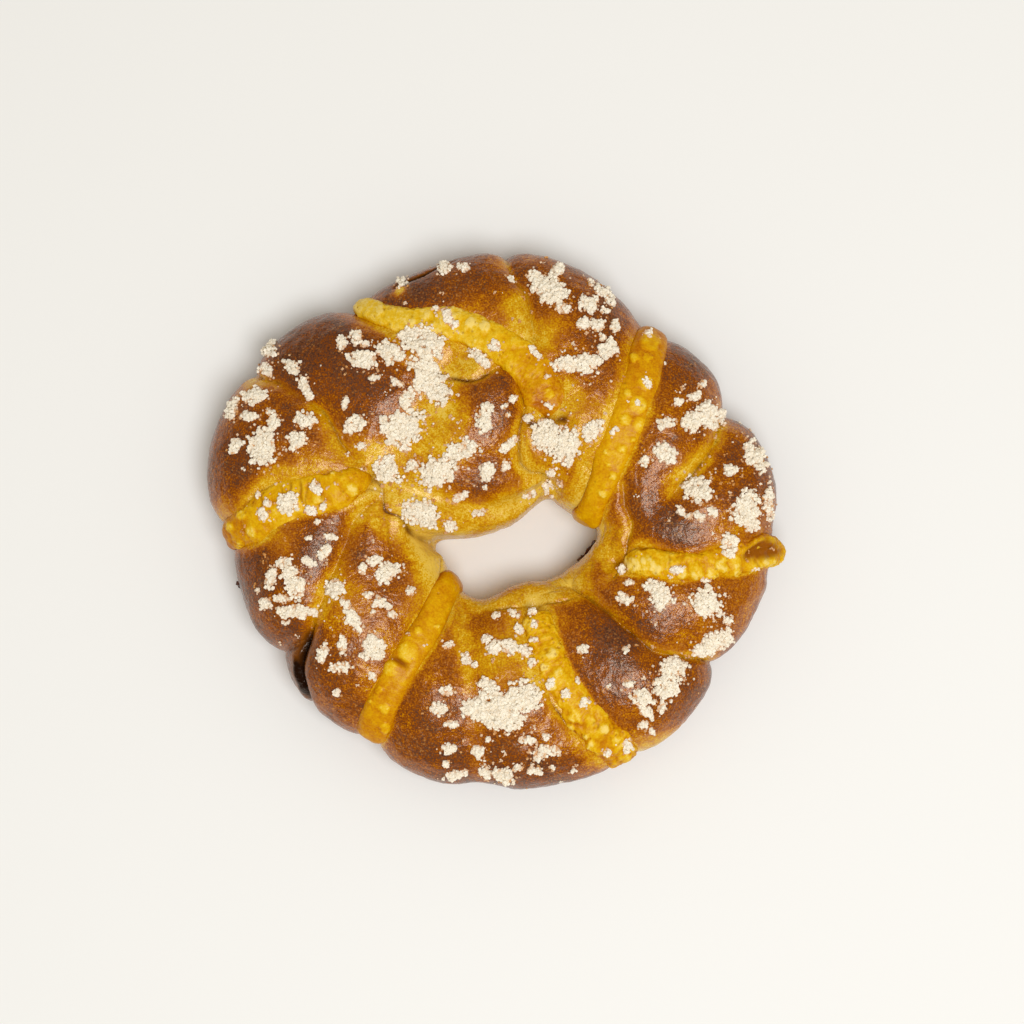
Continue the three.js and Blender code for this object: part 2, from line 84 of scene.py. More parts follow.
# Where strands meet: the depth, and how far the dough rolls in to the left and right. Gold is how pale it
# stayed along the crease: strength, then reach to the left and right, from the edge of the strip that
# covers the crease's middle where one does. Crease shade is painted shade, a thin dark line in the bottom:
# strength and width. A soft crease is a rounded valley, and the others are sharp in the bottom.
Crease = namedtuple("Crease", "depth left right gold seam path cover soft", defaults=(0, False))
CREASES = (
    # under the top custard strip
    Crease(9, 20, 22, (0.45, 2, 7), (0, 1), cover=6, path=(
        (124, 1.2), (123, 0.92), (119.5, 0.78), (116, 0.73), (111.5, 0.7), (106, 0.67), (100.5, 0.63),
        (94, 0.59), (88, 0.55), (82, 0.51), (78, 0.46), (76, 0.41),
    )),
    # right edge of the big inner lobe
    Crease(6, 10, 11, (0.45, 6, 4), (0.4, 0.7), path=(
        (95, 0.53), (92, 0.53), (89.5, 0.51), (88, 0.48), (86.5, 0.44), (87, 0.4), (88, 0.35), (87, 0.3),
        (78.5, 0.26), (68, 0.23), (61, 0.17), (57, 0.08),
    )),
    # inner top lobe, top
    Crease(4, 6, 7, (0, 1, 1), (0.5, 2.4), path=((86, 0.4), (76.5, 0.4), (70, 0.425), (66, 0.43))),
    # between top lobes
    Crease(6.5, 22, 14, (0.5, 2, 13), (0.35, 0.7), path=(
        (93, 1.25), (92, 0.98), (91, 0.86), (90, 0.8), (88, 0.74), (86.5, 0.69), (85.5, 0.65), (85, 0.61),
    )),
    # crack in the top lobe
    Crease(2, 3, 5, (0, 1, 1), (1, 1.1), path=((115, 0.9), (108, 0.9), (102, 0.93))),
    # under the upper right custard strip
    Crease(9, 21, 23, (0.4, 2.5, 7), (0, 1), cover=7.5, path=(
        (57.5, 1.2), (57, 0.85), (55.5, 0.72), (52.5, 0.62), (50.5, 0.56), (48, 0.5), (45.5, 0.44),
        (42.5, 0.37), (37.5, 0.31), (31, 0.23), (23.5, 0.14), (18, 0), (17, -0.2),
    )),
    # between right lobes
    Crease(8, 18, 20, (0.5, 4, 8), (0.4, 0.8), path=(
        (34, 1.3), (33, 0.98), (31, 0.8), (28.5, 0.74), (26.5, 0.68), (25, 0.64), (23.5, 0.6),
        (21.5, 0.56), (20.5, 0.52), (18.5, 0.48),
    )),
    # under the right custard strip
    Crease(9, 18, 20, (0.45, 2, 6), (0, 1), cover=5.5, path=(
        (358, 1.25), (357.5, 0.97), (357, 0.82), (356, 0.7), (355.5, 0.62), (353.5, 0.56), (353, 0.48),
        (353.5, 0.4), (353, 0.32), (352.5, 0.25),
    )),
    # above the end of the right custard strip
    Crease(5, 9, 5, (0.3, 2, 3), (0.8, 1.2), path=((3.5, 1.3), (3.5, 1), (2.5, 0.92), (1, 0.86))),
    # between lower right lobes
    Crease(9, 16, 26, (0.5, 1, 6), (0.55, 0.7), path=(
        (331, 1.3), (330, 0.98), (328.5, 0.79), (327, 0.72), (325.5, 0.67), (324, 0.62), (323, 0.57),
        (323, 0.52), (323.5, 0.47), (324.5, 0.41), (325, 0.35), (326, 0.29), (327, 0.21), (329, 0.11),
    )),
    # under the lower right custard strip
    Crease(9, 22, 21, (0.5, 9, 2), (0, 1), cover=7, path=(
        (299, 1.2), (297.5, 0.9), (296, 0.77), (294, 0.69), (291, 0.58), (288.5, 0.5), (287, 0.42),
        (286.5, 0.36), (287, 0.32), (288, 0.26), (289, 0.21),
    )),
    # between bottom lobes
    Crease(4, 20, 20, (0.3, 5, 5), (0, 1), soft=True, path=(
        (263, 1.2), (262, 0.98), (261, 0.89), (260, 0.77), (258, 0.67), (255.5, 0.58), (252, 0.51),
        (248, 0.44), (243, 0.37), (237, 0.29), (231, 0.2),
    )),
    # under the lower left custard strip
    Crease(9, 21, 22, (0.5, 1.5, 2.5), (0, 1), cover=6, path=(
        (234, 1.2), (232.5, 0.88), (231, 0.73), (229, 0.63), (227, 0.53), (225, 0.46), (223, 0.37),
        (220.5, 0.31), (217, 0.25), (212, 0.17), (206, 0.06), (203, -0.1),
    )),
    # between lower left lobes
    Crease(7, 20, 16, (0.45, 6, 6), (0, 0.8), path=(
        (204.5, 1.25), (204.5, 0.98), (204, 0.84), (203.5, 0.74), (202, 0.69), (199, 0.64), (195.5, 0.59),
        (190, 0.54), (184, 0.49), (177.5, 0.44), (170.5, 0.42), (165, 0.42), (161, 0.41),
    )),
    # split on the left
    Crease(8, 6, 8, (0, 1, 1), (1, 3.2), path=(
        (219, 1.3), (217.5, 1), (215, 0.93), (212, 0.88), (208.5, 0.82), (206, 0.77), (203.5, 0.71),
        (201.5, 0.66),
    )),
    # under the left custard strip
    Crease(9, 20, 22, (0.5, 10, 4), (0, 1), cover=8, path=(
        (178.5, 1.25), (177.5, 0.88), (176.5, 0.77), (175, 0.72), (172, 0.67), (169.5, 0.63), (167, 0.58),
        (165, 0.54), (161.5, 0.5), (156, 0.46), (152, 0.44),
    )),
    # between left lobes
    Crease(6.5, 20, 18, (0.45, 2, 8), (0.45, 0.8), path=(
        (147, 1.25), (146, 0.98), (146, 0.88), (144.5, 0.75), (144.5, 0.7), (145, 0.63), (147, 0.58),
        (150, 0.53), (151.5, 0.5),
    )),
    # behind the big inner lobe
    Crease(4.5, 26, 16, (0.25, 12, 12), (0, 1), soft=True, path=(
        (112, 0.57), (124, 0.5), (138, 0.46), (151, 0.43), (163, 0.38),
    )),
    # over the big inner lobe
    Crease(6, 18, 8, (0.6, 14, 2), (0.7, 1), path=(
        (118, 0.59), (114.5, 0.57), (112, 0.545), (109.5, 0.535), (105, 0.52), (100, 0.52), (96, 0.53),
    )),
    # rim under the big inner lobe
    Crease(3.5, 10, 9, (0.4, 12, 8), (0, 1), soft=True, path=(
        (152.5, 0.43), (152.5, 0.38), (150, 0.33), (144.5, 0.27), (138.5, 0.22), (124, 0.17), (90, 0.14),
        (68.5, 0.14), (60.5, 0.15),
    )),
    # knot
    Crease(6, 12, 10, (0.45, 12, 12), (0.6, 0.9), path=(
        (153, 0.46), (155, 0.43), (157.5, 0.41), (161.5, 0.39), (165, 0.37), (165.5, 0.34), (168, 0.3),
        (172.5, 0.23), (176, 0.12), (177, -0.1),
    )),
    # strand right of the hole
    Crease(4.5, 12, 11, (0.4, 3, 8), (0.4, 0.6), path=(
        (30, 0.36), (20, 0.31), (12, 0.29), (5, 0.28), (356, 0.27), (344, 0.3),
    )),
    # roll along the hole
    Crease(4, 8, 9, (0.4, 9, 3), (0.4, 0.8), path=(
        (249, 0.17), (265, 0.19), (285, 0.2), (304, 0.21), (318.5, 0.225), (326.5, 0.24),
    )),
)

# Fine folds and stretch lines on the strands, drawn only here, with painted shade along their bottoms:
# (depth, left, right, painted shade strength, painted shade width, path)
FOLDS = (
    (1.8, 1.5, 4, 0.7, 0.5, (
        (359.5, 0.27), (0, 0.32), (359, 0.38), (358, 0.44), (357, 0.52), (358, 0.56), (0, 0.6), (0, 0.65),
        (358.5, 0.69),
    )),
    (1.6, 2, 4, 0.6, 0.6, (
        (282.5, 0.51), (283.5, 0.56), (285, 0.61), (286.5, 0.66), (290, 0.71), (292.5, 0.79),
    )),
    (1.6, 4, 2, 0.45, 0.6, (
        (174.5, 0.82), (172.5, 0.76), (170, 0.71), (167.5, 0.68), (165, 0.64), (162.5, 0.59), (160, 0.55),
        (155.5, 0.52), (153, 0.49),
    )),
    (1, 3, 3, 0.4, 0.5, ((165, 0.48), (159, 0.45), (158, 0.41), (164, 0.38), (168, 0.34))),
    (1.2, 3, 2, 0.4, 0.5, ((174, 0), (187, 0.08), (200, 0.16), (210, 0.28))),
    (1, 2, 2, 0.4, 0.5, ((143, 0.72), (142, 0.64), (144, 0.58), (148, 0.53))),
    (0.8, 2, 2, 0.15, 0.5, ((52, 0.32), (47, 0.3), (42, 0.3))),
    (0.7, 2, 2, 0.15, 0.5, ((56, 0.36), (54, 0.28), (50, 0.22))),
    (0.6, 1.5, 1.5, 0.15, 0.4, ((35, 0.4), (30, 0.38), (24, 0.36))),
    (0.6, 1.5, 1.5, 0.15, 0.4, ((33, 0.44), (27, 0.41), (22, 0.4))),
    (0.8, 3, 3, 0.15, 0.5, ((100, 0.86), (98, 0.77), (93, 0.69))),
    (0.8, 3, 3, 0.15, 0.5, ((96, 0.9), (95, 0.8), (91, 0.72))),
    (0.8, 3, 3, 0.15, 0.5, ((105, 0.82), (101, 0.75), (96, 0.7))),
    (0.7, 2, 3, 0.2, 0.5, ((18, 0.2), (12, 0.14), (4, 0.12))),
    (0.7, 3, 2, 0.2, 0.5, ((14, 0.26), (6, 0.2), (356, 0.19))),
    (0.7, 2, 3, 0.2, 0.5, ((336, 0.24), (345, 0.18), (352, 0.14))),
    (0.8, 2, 3, 0.2, 0.5, ((222, 0.2), (226, 0.27), (231, 0.33))),
    (0.7, 2, 2, 0.2, 0.5, ((298, 0.16), (312, 0.14), (324, 0.15))),
    (1.2, 2, 2, 0.9, 0.7, ((112.3, 1), (112, 0.92), (112.3, 0.86), (112.7, 0.8))),
    (0.4, 3, 3, 1.8, 2.8, ((204.5, 0.78), (207, 0.83), (210.5, 0.88), (214.5, 0.95), (217, 1.03))),
)

# Where the dough stands up or sinks: (degrees, over, spread, rise)
SWELLINGS = (
    (108, 0.42, 27, 4.5), (75, 0.78, 22, 2.5), (102, 0.85, 22, 1.5), (128, 0.68, 24, 2),
    (155, 0.75, 22, 1.5), (190, 0.62, 20, 2), (212, 0.62, 20, 2.5), (243, 0.6, 18, 1.5),
    (266, 0.52, 24, 2.5), (316, 0.6, 22, 2.5), (342, 0.64, 20, 1.5), (10, 0.62, 20, 2), (38, 0.62, 22, 2),
    (66, 0.4, 15, 3), (104, 0.6, 9, -3.5),
)

# Where the crust browned more or stayed pale: (degrees, over, spread, change)
BAKED_LEVEL = 0.46
PALEST = 0.14
OUTER_WALL_BROWNING = 0.3
HOLE_WALL_PALENESS = 0.5
BROWNING = (
    (104, 0.79, 21, 0.3), (95, 0.8, 19, 0.25), (73, 0.82, 19, 0.3), (66, 0.68, 17, 0.25),
    (92, 0.68, 12, -0.2), (56, 0.47, 14, -0.25), (61, 0.28, 17, -0.3), (49, 0.91, 21, 0.45),
    (37, 0.55, 19, 0.2), (30, 0.69, 14, 0.15), (15, 0.56, 24, 0.25), (12, 0.41, 15, 0.35),
    (18, 0.88, 19, 0.3), (338, 0.63, 21, 0.2), (348, 0.79, 15, 0.25), (325, 0.52, 24, 0.45),
    (321, 0.38, 14, 0.3), (320, 0.85, 19, 0.3), (277, 0.76, 28, 0.35), (261, 0.81, 24, 0.25),
    (267, 0.41, 19, -0.1), (238, 0.6, 20, 0.35), (218, 0.74, 21, 0.3), (206, 0.65, 14, 0.1),
    (182, 0.7, 21, 0.35), (188, 0.91, 17, 0.4), (178, 0.56, 14, 0.15), (162, 0.79, 20, 0.4),
    (156, 0.66, 14, 0.1), (134, 0.85, 26, 0.65), (136, 0.64, 24, 0.4), (128, 0.57, 17, 0.2),
    (97, 0.43, 15, 0.45), (105, 0.34, 14, 0.2), (127, 0.44, 19, -0.3), (158, 0.22, 24, -0.4),
    (197, 0.53, 21, -0.15), (184, 0.3, 19, -0.4), (210, 0.28, 17, -0.4), (243, 0.23, 14, -0.15),
    (7, 0.18, 19, -0.5), (34, 0.23, 17, -0.4), (105, 0.59, 13, -0.5), (147, 0.9, 9, -0.4),
    (159, 0.42, 19, -0.35), (301, 0.19, 19, -0.3), (186, 0.31, 16, 0.45), (198, 0.4, 16, 0.3),
    (184, 0.46, 16, 0.22), (179, 0.53, 12, 0.15), (200, 0.7, 12, 0.15), (130, 0.23, 14, 0.4),
    (144, 0.31, 10, 0.2), (15, 0.25, 10, 0.45), (26, 0.3, 8, 0.2), (359, 0.27, 8, 0.3),
    (51, 0.22, 12, 0.3), (120, 0.47, 12, -0.25), (94, 0.36, 10, -0.3), (24, 0.55, 14, -0.2),
    (7, 0.37, 10, -0.2), (5, 0.66, 12, -0.25), (332, 0.38, 16, -0.3), (331, 0.66, 16, -0.35),
    (318, 0.57, 8, -0.2), (350, 0.8, 14, -0.25), (109, 0.78, 20, -0.2), (82, 0.62, 10, -0.35),
    (71, 0.47, 10, -0.3), (147, 0.72, 12, -0.1), (138, 0.67, 20, -0.15), (178, 0.63, 12, -0.35),
    (263, 0.42, 12, -0.25), (224, 0.66, 14, -0.2), (236, 0.55, 14, -0.15), (275, 0.65, 12, -0.2),
    (306, 0.97, 10, -0.3), (92, 0.73, 10, 0.3), (92, 0.52, 7, 0.35), (270, 0.17, 12, 0.3),
    (311, 0.23, 8, 0.2), (352, 0.22, 14, 0.3), (22, 0.32, 9, 0.2), (234, 0.18, 12, 0.2),
    (47, 0.19, 14, 0.25), (189, 0.11, 12, -0.3), (12, 0.51, 12, -0.25), (181, 0.66, 12, -0.25),
    (155, 0.5, 10, 0.15), (74, 0.49, 10, 0.1), (254, 0.14, 10, 0.1), (148, 0.55, 12, -0.25),
    (195, 0.48, 12, -0.25), (118, 0.44, 12, -0.2), (94, 0.46, 10, -0.15), (90, 0.36, 10, -0.2),
    (98, 0.71, 14, -0.2), (133, 0.22, 12, 0.25), (171, 0.43, 12, 0.25), (184, 0.57, 10, 0.2),
    (203, 0.74, 10, 0.3), (309, 0.54, 12, 0.2), (249, 0.83, 12, 0.2), (148, 0.71, 14, 0.2),
    (345, 0.53, 10, -0.25), (37, 0.58, 12, -0.2), (23, 0.6, 10, -0.2), (162, 0.66, 12, -0.25),
    (284, 0.73, 12, -0.15), (264, 0.68, 12, -0.15), (180, 0.25, 10, 0.2), (352, 0.22, 9, 0.2),
    (188, 0.11, 10, -0.25), (47, 0.19, 10, 0.1), (234, 0.19, 9, 0.12), (155, 0.5, 9, 0.08),
    (346, 0.69, 10, -0.14), (6, 0.47, 14, 0.16), (182, 0.7, 14, 0.12), (236, 0.56, 14, -0.12),
    (64, 0.53, 10, 0.05), (5, 0.21, 8, 0.1), (6, 0.47, 12, 0.12), (136, 0.66, 14, -0.08),
    (305, 0.96, 8, -0.7), (312, 1, 8, -0.7), (320, 1.04, 7, -0.5), (209, 0.87, 9, 0.5),
    (213, 0.98, 9, 0.6), (204, 0.86, 8, 0.55), (199, 0.95, 8, 0.3), (112, 0.85, 14, 0.6),
    (114, 0.86, 3.5, -1.3), (73.5, 0.49, 9, -0.3), (188.5, 0.11, 9, -0.2), (352.5, 0.22, 8, 0.08),
    (12, 0.51, 9, -0.1), (180.6, 0.66, 9, -0.12), (234, 0.19, 9, 0.1), (155, 0.5, 8, 0.06),
)

# Custard strips: (degrees, over, half width), outer end first. A squareness under 1 flattens their tops.
STRIP_RISE = 6.5
STRIP_ROOT = 5
STRIP_SINK = 6
STRIP_SQUARENESS = 0.68
STRIP_END = 7
STRIP_DIVE = 2.5
STRIP_DIVE_FROM = 0.88
STRIPS = {
    "custard_strip_top": (
        (123, 0.98, 4.5), (119.5, 0.81, 6.4), (116, 0.75, 7.2), (111.5, 0.72, 7.5), (106, 0.68, 8.5),
        (100.5, 0.64, 8.2), (94, 0.59, 8.6), (88, 0.55, 9.8), (82, 0.51, 10.9), (77.5, 0.46, 11),
        (76, 0.41, 9.5),
    ),
    "custard_strip_upper_right": (
        (57.5, 0.99, 5.5), (57, 0.88, 8.2), (55.5, 0.75, 9.1), (52.5, 0.64, 9.3), (50.5, 0.57, 9.5),
        (48, 0.51, 9.3), (45.5, 0.45, 9.1), (42.5, 0.38, 8.2), (37.5, 0.32, 7.2), (31, 0.24, 6.5),
        (26, 0.18, 6.8), (20, 0.08, 7.4), (18.5, -0.08, 7),
    ),
    "custard_strip_right": (
        (359.2, 1.01, 3), (359.2, 0.94, 4.8), (359, 0.87, 6.8), (358.6, 0.79, 8.6), (357.3, 0.74, 8.6),
        (356.2, 0.7, 7.8), (355.5, 0.63, 7.6), (354, 0.58, 7.2), (353, 0.5, 7.4), (353.5, 0.4, 7.3),
        (353, 0.34, 6.4), (352.5, 0.28, 4.5),
    ),
    "custard_strip_lower_right": (
        (298, 1, 9), (297, 0.88, 9.2), (296, 0.79, 9.7), (294, 0.7, 9.5), (291, 0.58, 8.9),
        (288.5, 0.5, 8), (287.5, 0.43, 8.3), (286.5, 0.38, 8.7), (287, 0.33, 8.3), (288, 0.27, 6.8),
        (289, 0.22, 5),
    ),
    "custard_strip_lower_left": (
        (232.5, 0.96, 8), (232, 0.83, 8.3), (231, 0.75, 8.5), (229.5, 0.66, 8.3), (227.5, 0.56, 7.8),
        (225.5, 0.48, 8), (223, 0.38, 7.5), (220.5, 0.31, 7.1), (217, 0.25, 7.1), (213, 0.19, 7.1),
        (208, 0.1, 6.8), (206, -0.06, 6.5),
    ),
    "custard_strip_left": (
        (178.5, 1.03, 6.5), (177.5, 0.9, 8), (176, 0.79, 9), (175, 0.73, 9.5), (172, 0.67, 10),
        (169.5, 0.62, 10), (167.5, 0.59, 10), (165, 0.54, 10), (162, 0.505, 9.4), (158, 0.48, 7.5),
        (154, 0.45, 4.5),
    ),
}

# How lumpy each strip's skin is, how many pits it has, and how pale it is at its outer end, midway and at
# its inner end
STRIP_SKINS = {
    "custard_strip_top": (0.8, 70, (0.84, 0.8, 0.1)),
    "custard_strip_upper_right": (0.3, 8, (0.15, 0.44, 0.46)),
    "custard_strip_right": (1, 50, (0.52, 0.44, 0.68)),
    "custard_strip_lower_right": (1.1, 80, (0.26, 0.54, 0.56)),
    "custard_strip_lower_left": (0.25, 5, (0.24, 0.37, 0.34)),
    "custard_strip_left": (0.7, 24, (0.12, 0.62, 0.42)),
}

# Bubbles in the custard as the photograph shows them: the pixel of the middle, then the radius in pixels
BUBBLES = (
    (650, 341, 13), (634, 358, 6), (648, 358, 6), (646, 383, 9), (628, 393, 5), (638, 405, 11),
    (625, 420, 7), (640, 425, 10), (622, 449, 5), (613, 476, 5), (603, 494, 5), (633, 440, 4),
    (605, 452, 3), (608, 465, 3), (408, 652, 13), (391, 668, 10), (379, 690, 5), (385, 709, 6.5),
    (370, 701, 2.5), (418, 630, 5), (385, 728, 7), (437, 626, 3), (251, 532, 6.5), (241, 515, 6),
    (230, 527, 5), (352, 490, 8), (333, 472, 4), (240, 545, 5), (632, 565, 10), (646, 559, 7),
    (656, 570, 8), (682, 573, 8), (697, 573, 9), (712, 573, 8), (721, 566, 8), (735, 562, 8),
    (738, 573, 6), (752, 575, 5), (770, 562, 9), (553, 654, 8), (545, 668, 7), (560, 672, 6),
    (551, 686, 7), (565, 695, 7), (583, 702, 7), (575, 717, 9), (590, 722, 7), (570, 728, 6),
    (604, 729, 7), (592, 745, 6), (618, 743, 8), (607, 754, 6), (630, 750, 6), (640, 748, 6),
    (586, 737, 5), (485, 326, 7), (470, 322, 6), (452, 318, 5), (548, 394, 8), (380, 310, 5),
    (727, 558, 6), (625, 757, 8), (318, 499, 7),
)

# Cuts and wrinkles in the custard, in the photograph's pixels: (width in millimetres, depth, path)
# The depth of each cut also sets how much painted shade is put in it
CUTS = (
    (1.3, 1.2, ((391, 657), (399, 661), (407, 667))), (2, 2.8, ((746, 557), (757, 550), (768, 542))),
    (2.2, 3, ((750, 556), (762, 549), (775, 546))), (1.8, 2.8, ((754, 556), (768, 553), (780, 551))),
    (0.6, 0.7, ((290, 481), (291, 487), (289, 493))),
    (0.6, 0.8, ((300, 480), (301, 488), (300, 496), (304, 505))),
    (0.5, 0.6, ((308, 480), (307, 490), (305, 500), (307, 510))),
    (0.5, 0.5, ((281, 485), (282, 492), (280, 498))), (0.6, 0.6, ((260, 492), (262, 503), (260, 515))),
    (0.6, 0.5, ((318, 478), (321, 490), (322, 505))), (0.5, 0.5, ((669, 553), (670, 560), (668, 566))),
    (0.6, 0.5, ((752, 560), (757, 563), (760, 570))),
)

# Where the middle of each sugar clump lies, in the order of their nodes: (degrees, over)
CLUMPS = (
    (82, 0.75), (69, 0.6), (68, 0.36), (115, 0.66), (116, 0.56), (122, 0.66), (133, 0.48), (125, 0.37),
    (149, 0.43), (160, 0.3), (158, 0.7), (169, 0.6), (186, 0.68), (196, 0.68), (215, 0.53), (191, 0.36),
    (266, 0.56), (266, 0.82), (277, 0.7), (320, 0.69), (310, 0.67), (335, 0.78), (342, 0.5), (344, 0.64),
    (9, 0.7), (18, 0.56), (21, 0.83), (35, 0.7),
)

# Patches of sugar as the photograph shows them: the pixel of the middle, the length and width in
# millimetres, and the length's direction in degrees anticlockwise from the right, 0 where it isn't given
PATCHES = (
    # on the upper left lobes
    (270, 350, 8, 7, 45), (264, 368, 7, 6), (292, 366, 9, 6, -20), (304, 387, 12, 6, -60),
    (256, 397, 11, 9), (250, 417, 9, 4, -10), (233, 410, 13, 5, 70), (271, 412, 4, 3),
    (274, 424, 8, 6, 90), (264, 447, 18, 13, 80), (306, 421, 11, 8), (297, 442, 9, 8, 30),
    (236, 447, 9, 5, 60), (342, 345, 7, 5, 90), (357, 339, 8, 6, 90), (366, 346, 4, 3), (364, 361, 15, 9),
    (391, 353, 14, 11), (374, 379, 5, 4), (397, 384, 7, 4, -20), (410, 335, 12, 8, 20),
    (423, 342, 19, 15, -30), (430, 380, 27, 15, -60), (402, 427, 20, 16, 20), (404, 446, 8, 6, 90),
    (355, 424, 12, 8, 30), (345, 404, 7, 3, 80), (361, 445, 5, 3), (408, 398, 12, 6, 60),
    (386, 470, 16, 12, -50), (412, 465, 6, 6), (462, 449, 17, 9, 15), (437, 472, 20, 13, 40),
    # on the top lobes and the strip between them
    (445, 270, 8, 7), (464, 269, 5, 4), (401, 284, 7, 4, 55), (511, 277, 4, 3, -45), (556, 272, 7, 6),
    (533, 275, 6, 4, -20), (549, 291, 19, 11, -40), (563, 311, 7, 6), (601, 294, 10, 6, -30),
    (609, 304, 6, 4, -40), (590, 284, 5, 3, -20), (587, 307, 10, 8, -20), (583, 325, 6, 6),
    (597, 327, 8, 7, -20), (614, 328, 6, 5, 90), (603, 313, 5, 3), (602, 339, 4, 3), (566, 364, 14, 8),
    (588, 364, 12, 10), (607, 351, 11, 8, 45), (535, 352, 9, 4, -50), (495, 345, 6, 6),
    (479, 357, 13, 6, -50), (437, 309, 4, 3), (449, 319, 14, 5, -60), (548, 405, 5, 3), (546, 377, 3, 2),
    (528, 417, 5, 3, 30), (546, 436, 15, 14), (566, 446, 18, 13, 80), (593, 430, 12, 9, 30),
    (551, 474, 5, 4, 90), (613, 432, 5, 3, 45), (484, 419, 14, 8, 80), (512, 441, 9, 4, 30),
    (505, 448, 5, 4), (513, 400, 4, 4), (503, 406, 4, 2, 30), (508, 415, 3, 2), (486, 470, 9, 7, 50),
    (505, 465, 6, 4, 60), (484, 486, 4, 2), (461, 497, 9, 4, 35), (648, 335, 5, 4, -45),
    (646, 383, 6, 4, -60), (637, 404, 4, 2, 90),
    # round the hole
    (421, 513, 17, 13, -20), (450, 525, 6, 6), (481, 515, 7, 3, 10), (533, 499, 9, 3, 20),
    (549, 494, 5, 4, 90), (560, 487, 4, 3, 90), (486, 638, 5, 4), (494, 648, 9, 6, 10), (510, 648, 10, 7),
    (496, 615, 4, 3), (519, 628, 6, 4, 80), (514, 612, 5, 4), (533, 612, 4, 4), (534, 640, 4, 3),
    (534, 625, 4, 3, 90),
    # on the right lobes
    (701, 385, 4, 3), (693, 397, 7, 4, 30), (677, 403, 5, 3, 20), (692, 422, 11, 10, 60),
    (708, 415, 14, 12), (727, 412, 7, 6), (664, 424, 8, 6, 20), (665, 453, 12, 9, -40),
    (645, 461, 6, 5, 90), (730, 470, 8, 6, -20), (754, 457, 19, 8, -60), (697, 489, 14, 12),
    (681, 510, 6, 4, -60), (689, 516, 4, 3), (700, 518, 6, 4, -40), (712, 512, 5, 5),
    (744, 508, 16, 13, 80), (750, 525, 8, 6), (768, 503, 17, 5, 90), (730, 542, 9, 8), (729, 554, 7, 4),
    (652, 586, 8, 7), (662, 597, 12, 11, 80), (623, 598, 9, 5, -15), (629, 582, 5, 3), (704, 603, 15, 14),
    (716, 643, 17, 11, 45), (702, 652, 8, 8), (677, 570, 9, 4), (705, 580, 5, 2), (620, 568, 4, 4),
    (756, 568, 4, 2), (727, 620, 5, 4),
    # on the lobes along the bottom
    (675, 668, 15, 9, -10), (665, 685, 14, 12, 60), (640, 697, 11, 9, 20), (628, 683, 5, 3),
    (645, 711, 9, 5, -40), (661, 706, 6, 4, 80), (643, 724, 5, 4), (651, 731, 4, 3), (582, 650, 6, 4, 45),
    (626, 649, 3, 3), (578, 681, 3, 2, 90), (608, 686, 2, 2), (489, 688, 10, 10), (524, 697, 17, 15),
    (478, 708, 15, 14, 30), (503, 715, 20, 15), (501, 701, 13, 9), (448, 691, 7, 5, -20),
    (438, 708, 10, 6), (452, 724, 6, 4, -20), (450, 750, 7, 5, -20), (446, 765, 4, 3, 90),
    (489, 741, 3, 3), (478, 754, 8, 6, -20), (527, 739, 10, 4, -10), (550, 749, 14, 5, -10),
    (538, 756, 6, 5), (546, 737, 4, 3), (502, 777, 13, 8), (485, 777, 7, 6, 90), (518, 767, 6, 4),
    (533, 770, 7, 4), (455, 778, 11, 4), (566, 694, 5, 4), (585, 702, 5, 5), (551, 683, 5, 4, 90),
    (533, 662, 5, 4, 90), (525, 651, 6, 6), (607, 752, 5, 4), (627, 745, 6, 6), (450, 643, 6, 3, 20),
    (466, 658, 6, 5, -60), (475, 664, 3, 3), (573, 770, 3, 2), (553, 768, 3, 2, -40),
    # on the lower left lobes
    (288, 503, 11, 11), (263, 513, 6, 5, -60), (257, 494, 4, 2, 90), (268, 504, 3, 3),
    (316, 488, 8, 4, -60), (311, 511, 7, 4), (323, 507, 4, 3, 90), (318, 521, 3, 2), (286, 562, 8, 6, 20),
    (272, 577, 11, 6, 80), (297, 585, 15, 9, -70), (290, 572, 8, 6), (281, 597, 9, 4),
    (310, 562, 7, 4, -30), (325, 552, 8, 5, 50), (331, 537, 6, 3, -20), (309, 538, 3, 2),
    (266, 604, 7, 5, -30), (297, 611, 17, 7, -5), (286, 623, 4, 2), (258, 590, 3, 2, 90),
    (334, 588, 11, 9, 70), (352, 614, 19, 5, -62), (373, 647, 13, 11, -60), (386, 573, 12, 10, 30),
    (374, 560, 7, 5), (362, 569, 5, 4, 90), (379, 602, 7, 5, 20), (388, 606, 4, 3), (392, 615, 6, 3),
    (368, 596, 4, 4), (373, 612, 3, 2), (411, 590, 6, 4, 20), (344, 645, 9, 5, 85), (325, 652, 9, 5, 70),
    (341, 666, 11, 5), (347, 620, 3, 2, 90), (373, 676, 4, 4), (338, 692, 4, 3, 90),
)

# How finely the surfaces are drawn
ROUND_THE_RING = 760
OVER_THE_TOP = 290
BASE_COLUMNS = 12
STRIP_STEPS = 300
STRIP_SIDES = 80
STRIP_FRAME_STEPS = 60
SIGHT_ROUNDS = 5

# The crust: nothing moves at its foot, and all of a move counts from this height up
FOOT_HEIGHT = 8
BASE_BROWN = 0.75
BROWN_SHARE = 0.85
DARKEST = 0.78
STRAND_SLANT = 40
FIBRES_ROUND = 240
FIBRES_ACROSS = 11

# The sugar: sizes in millimetres, how full a patch is in its middle, how ragged, the fullness that keeps a
# grain, the core where every grain is kept, and the strays. Single crumbs spread by (degrees, over) about
# the clumps. Then the burnt crumbs.
GRAIN_STEP = 0.72
GRAIN_JITTER = 0.35
PILE_JITTER = 0.2
PATCH_HEIGHT = 3
PATCH_SPREAD = 1.5
PATCH_FULLNESS = 0.94
PATCH_RAGGEDNESS = 0.85
PATCH_EDGE = 0.34
PATCH_CORE = 0.55
STRAYS_PER_AREA = 0.1
DUST_CRUMBS = 340
DUST_SPREAD = (7, 0.09)
MOST_GRAINS = 5
CRUMB_SPREAD = 0.55
SUGAR_PIECES = 6
BURNT_BY_HOLE = 50
BURNT_AT_LEFT = 8
SEED = 7

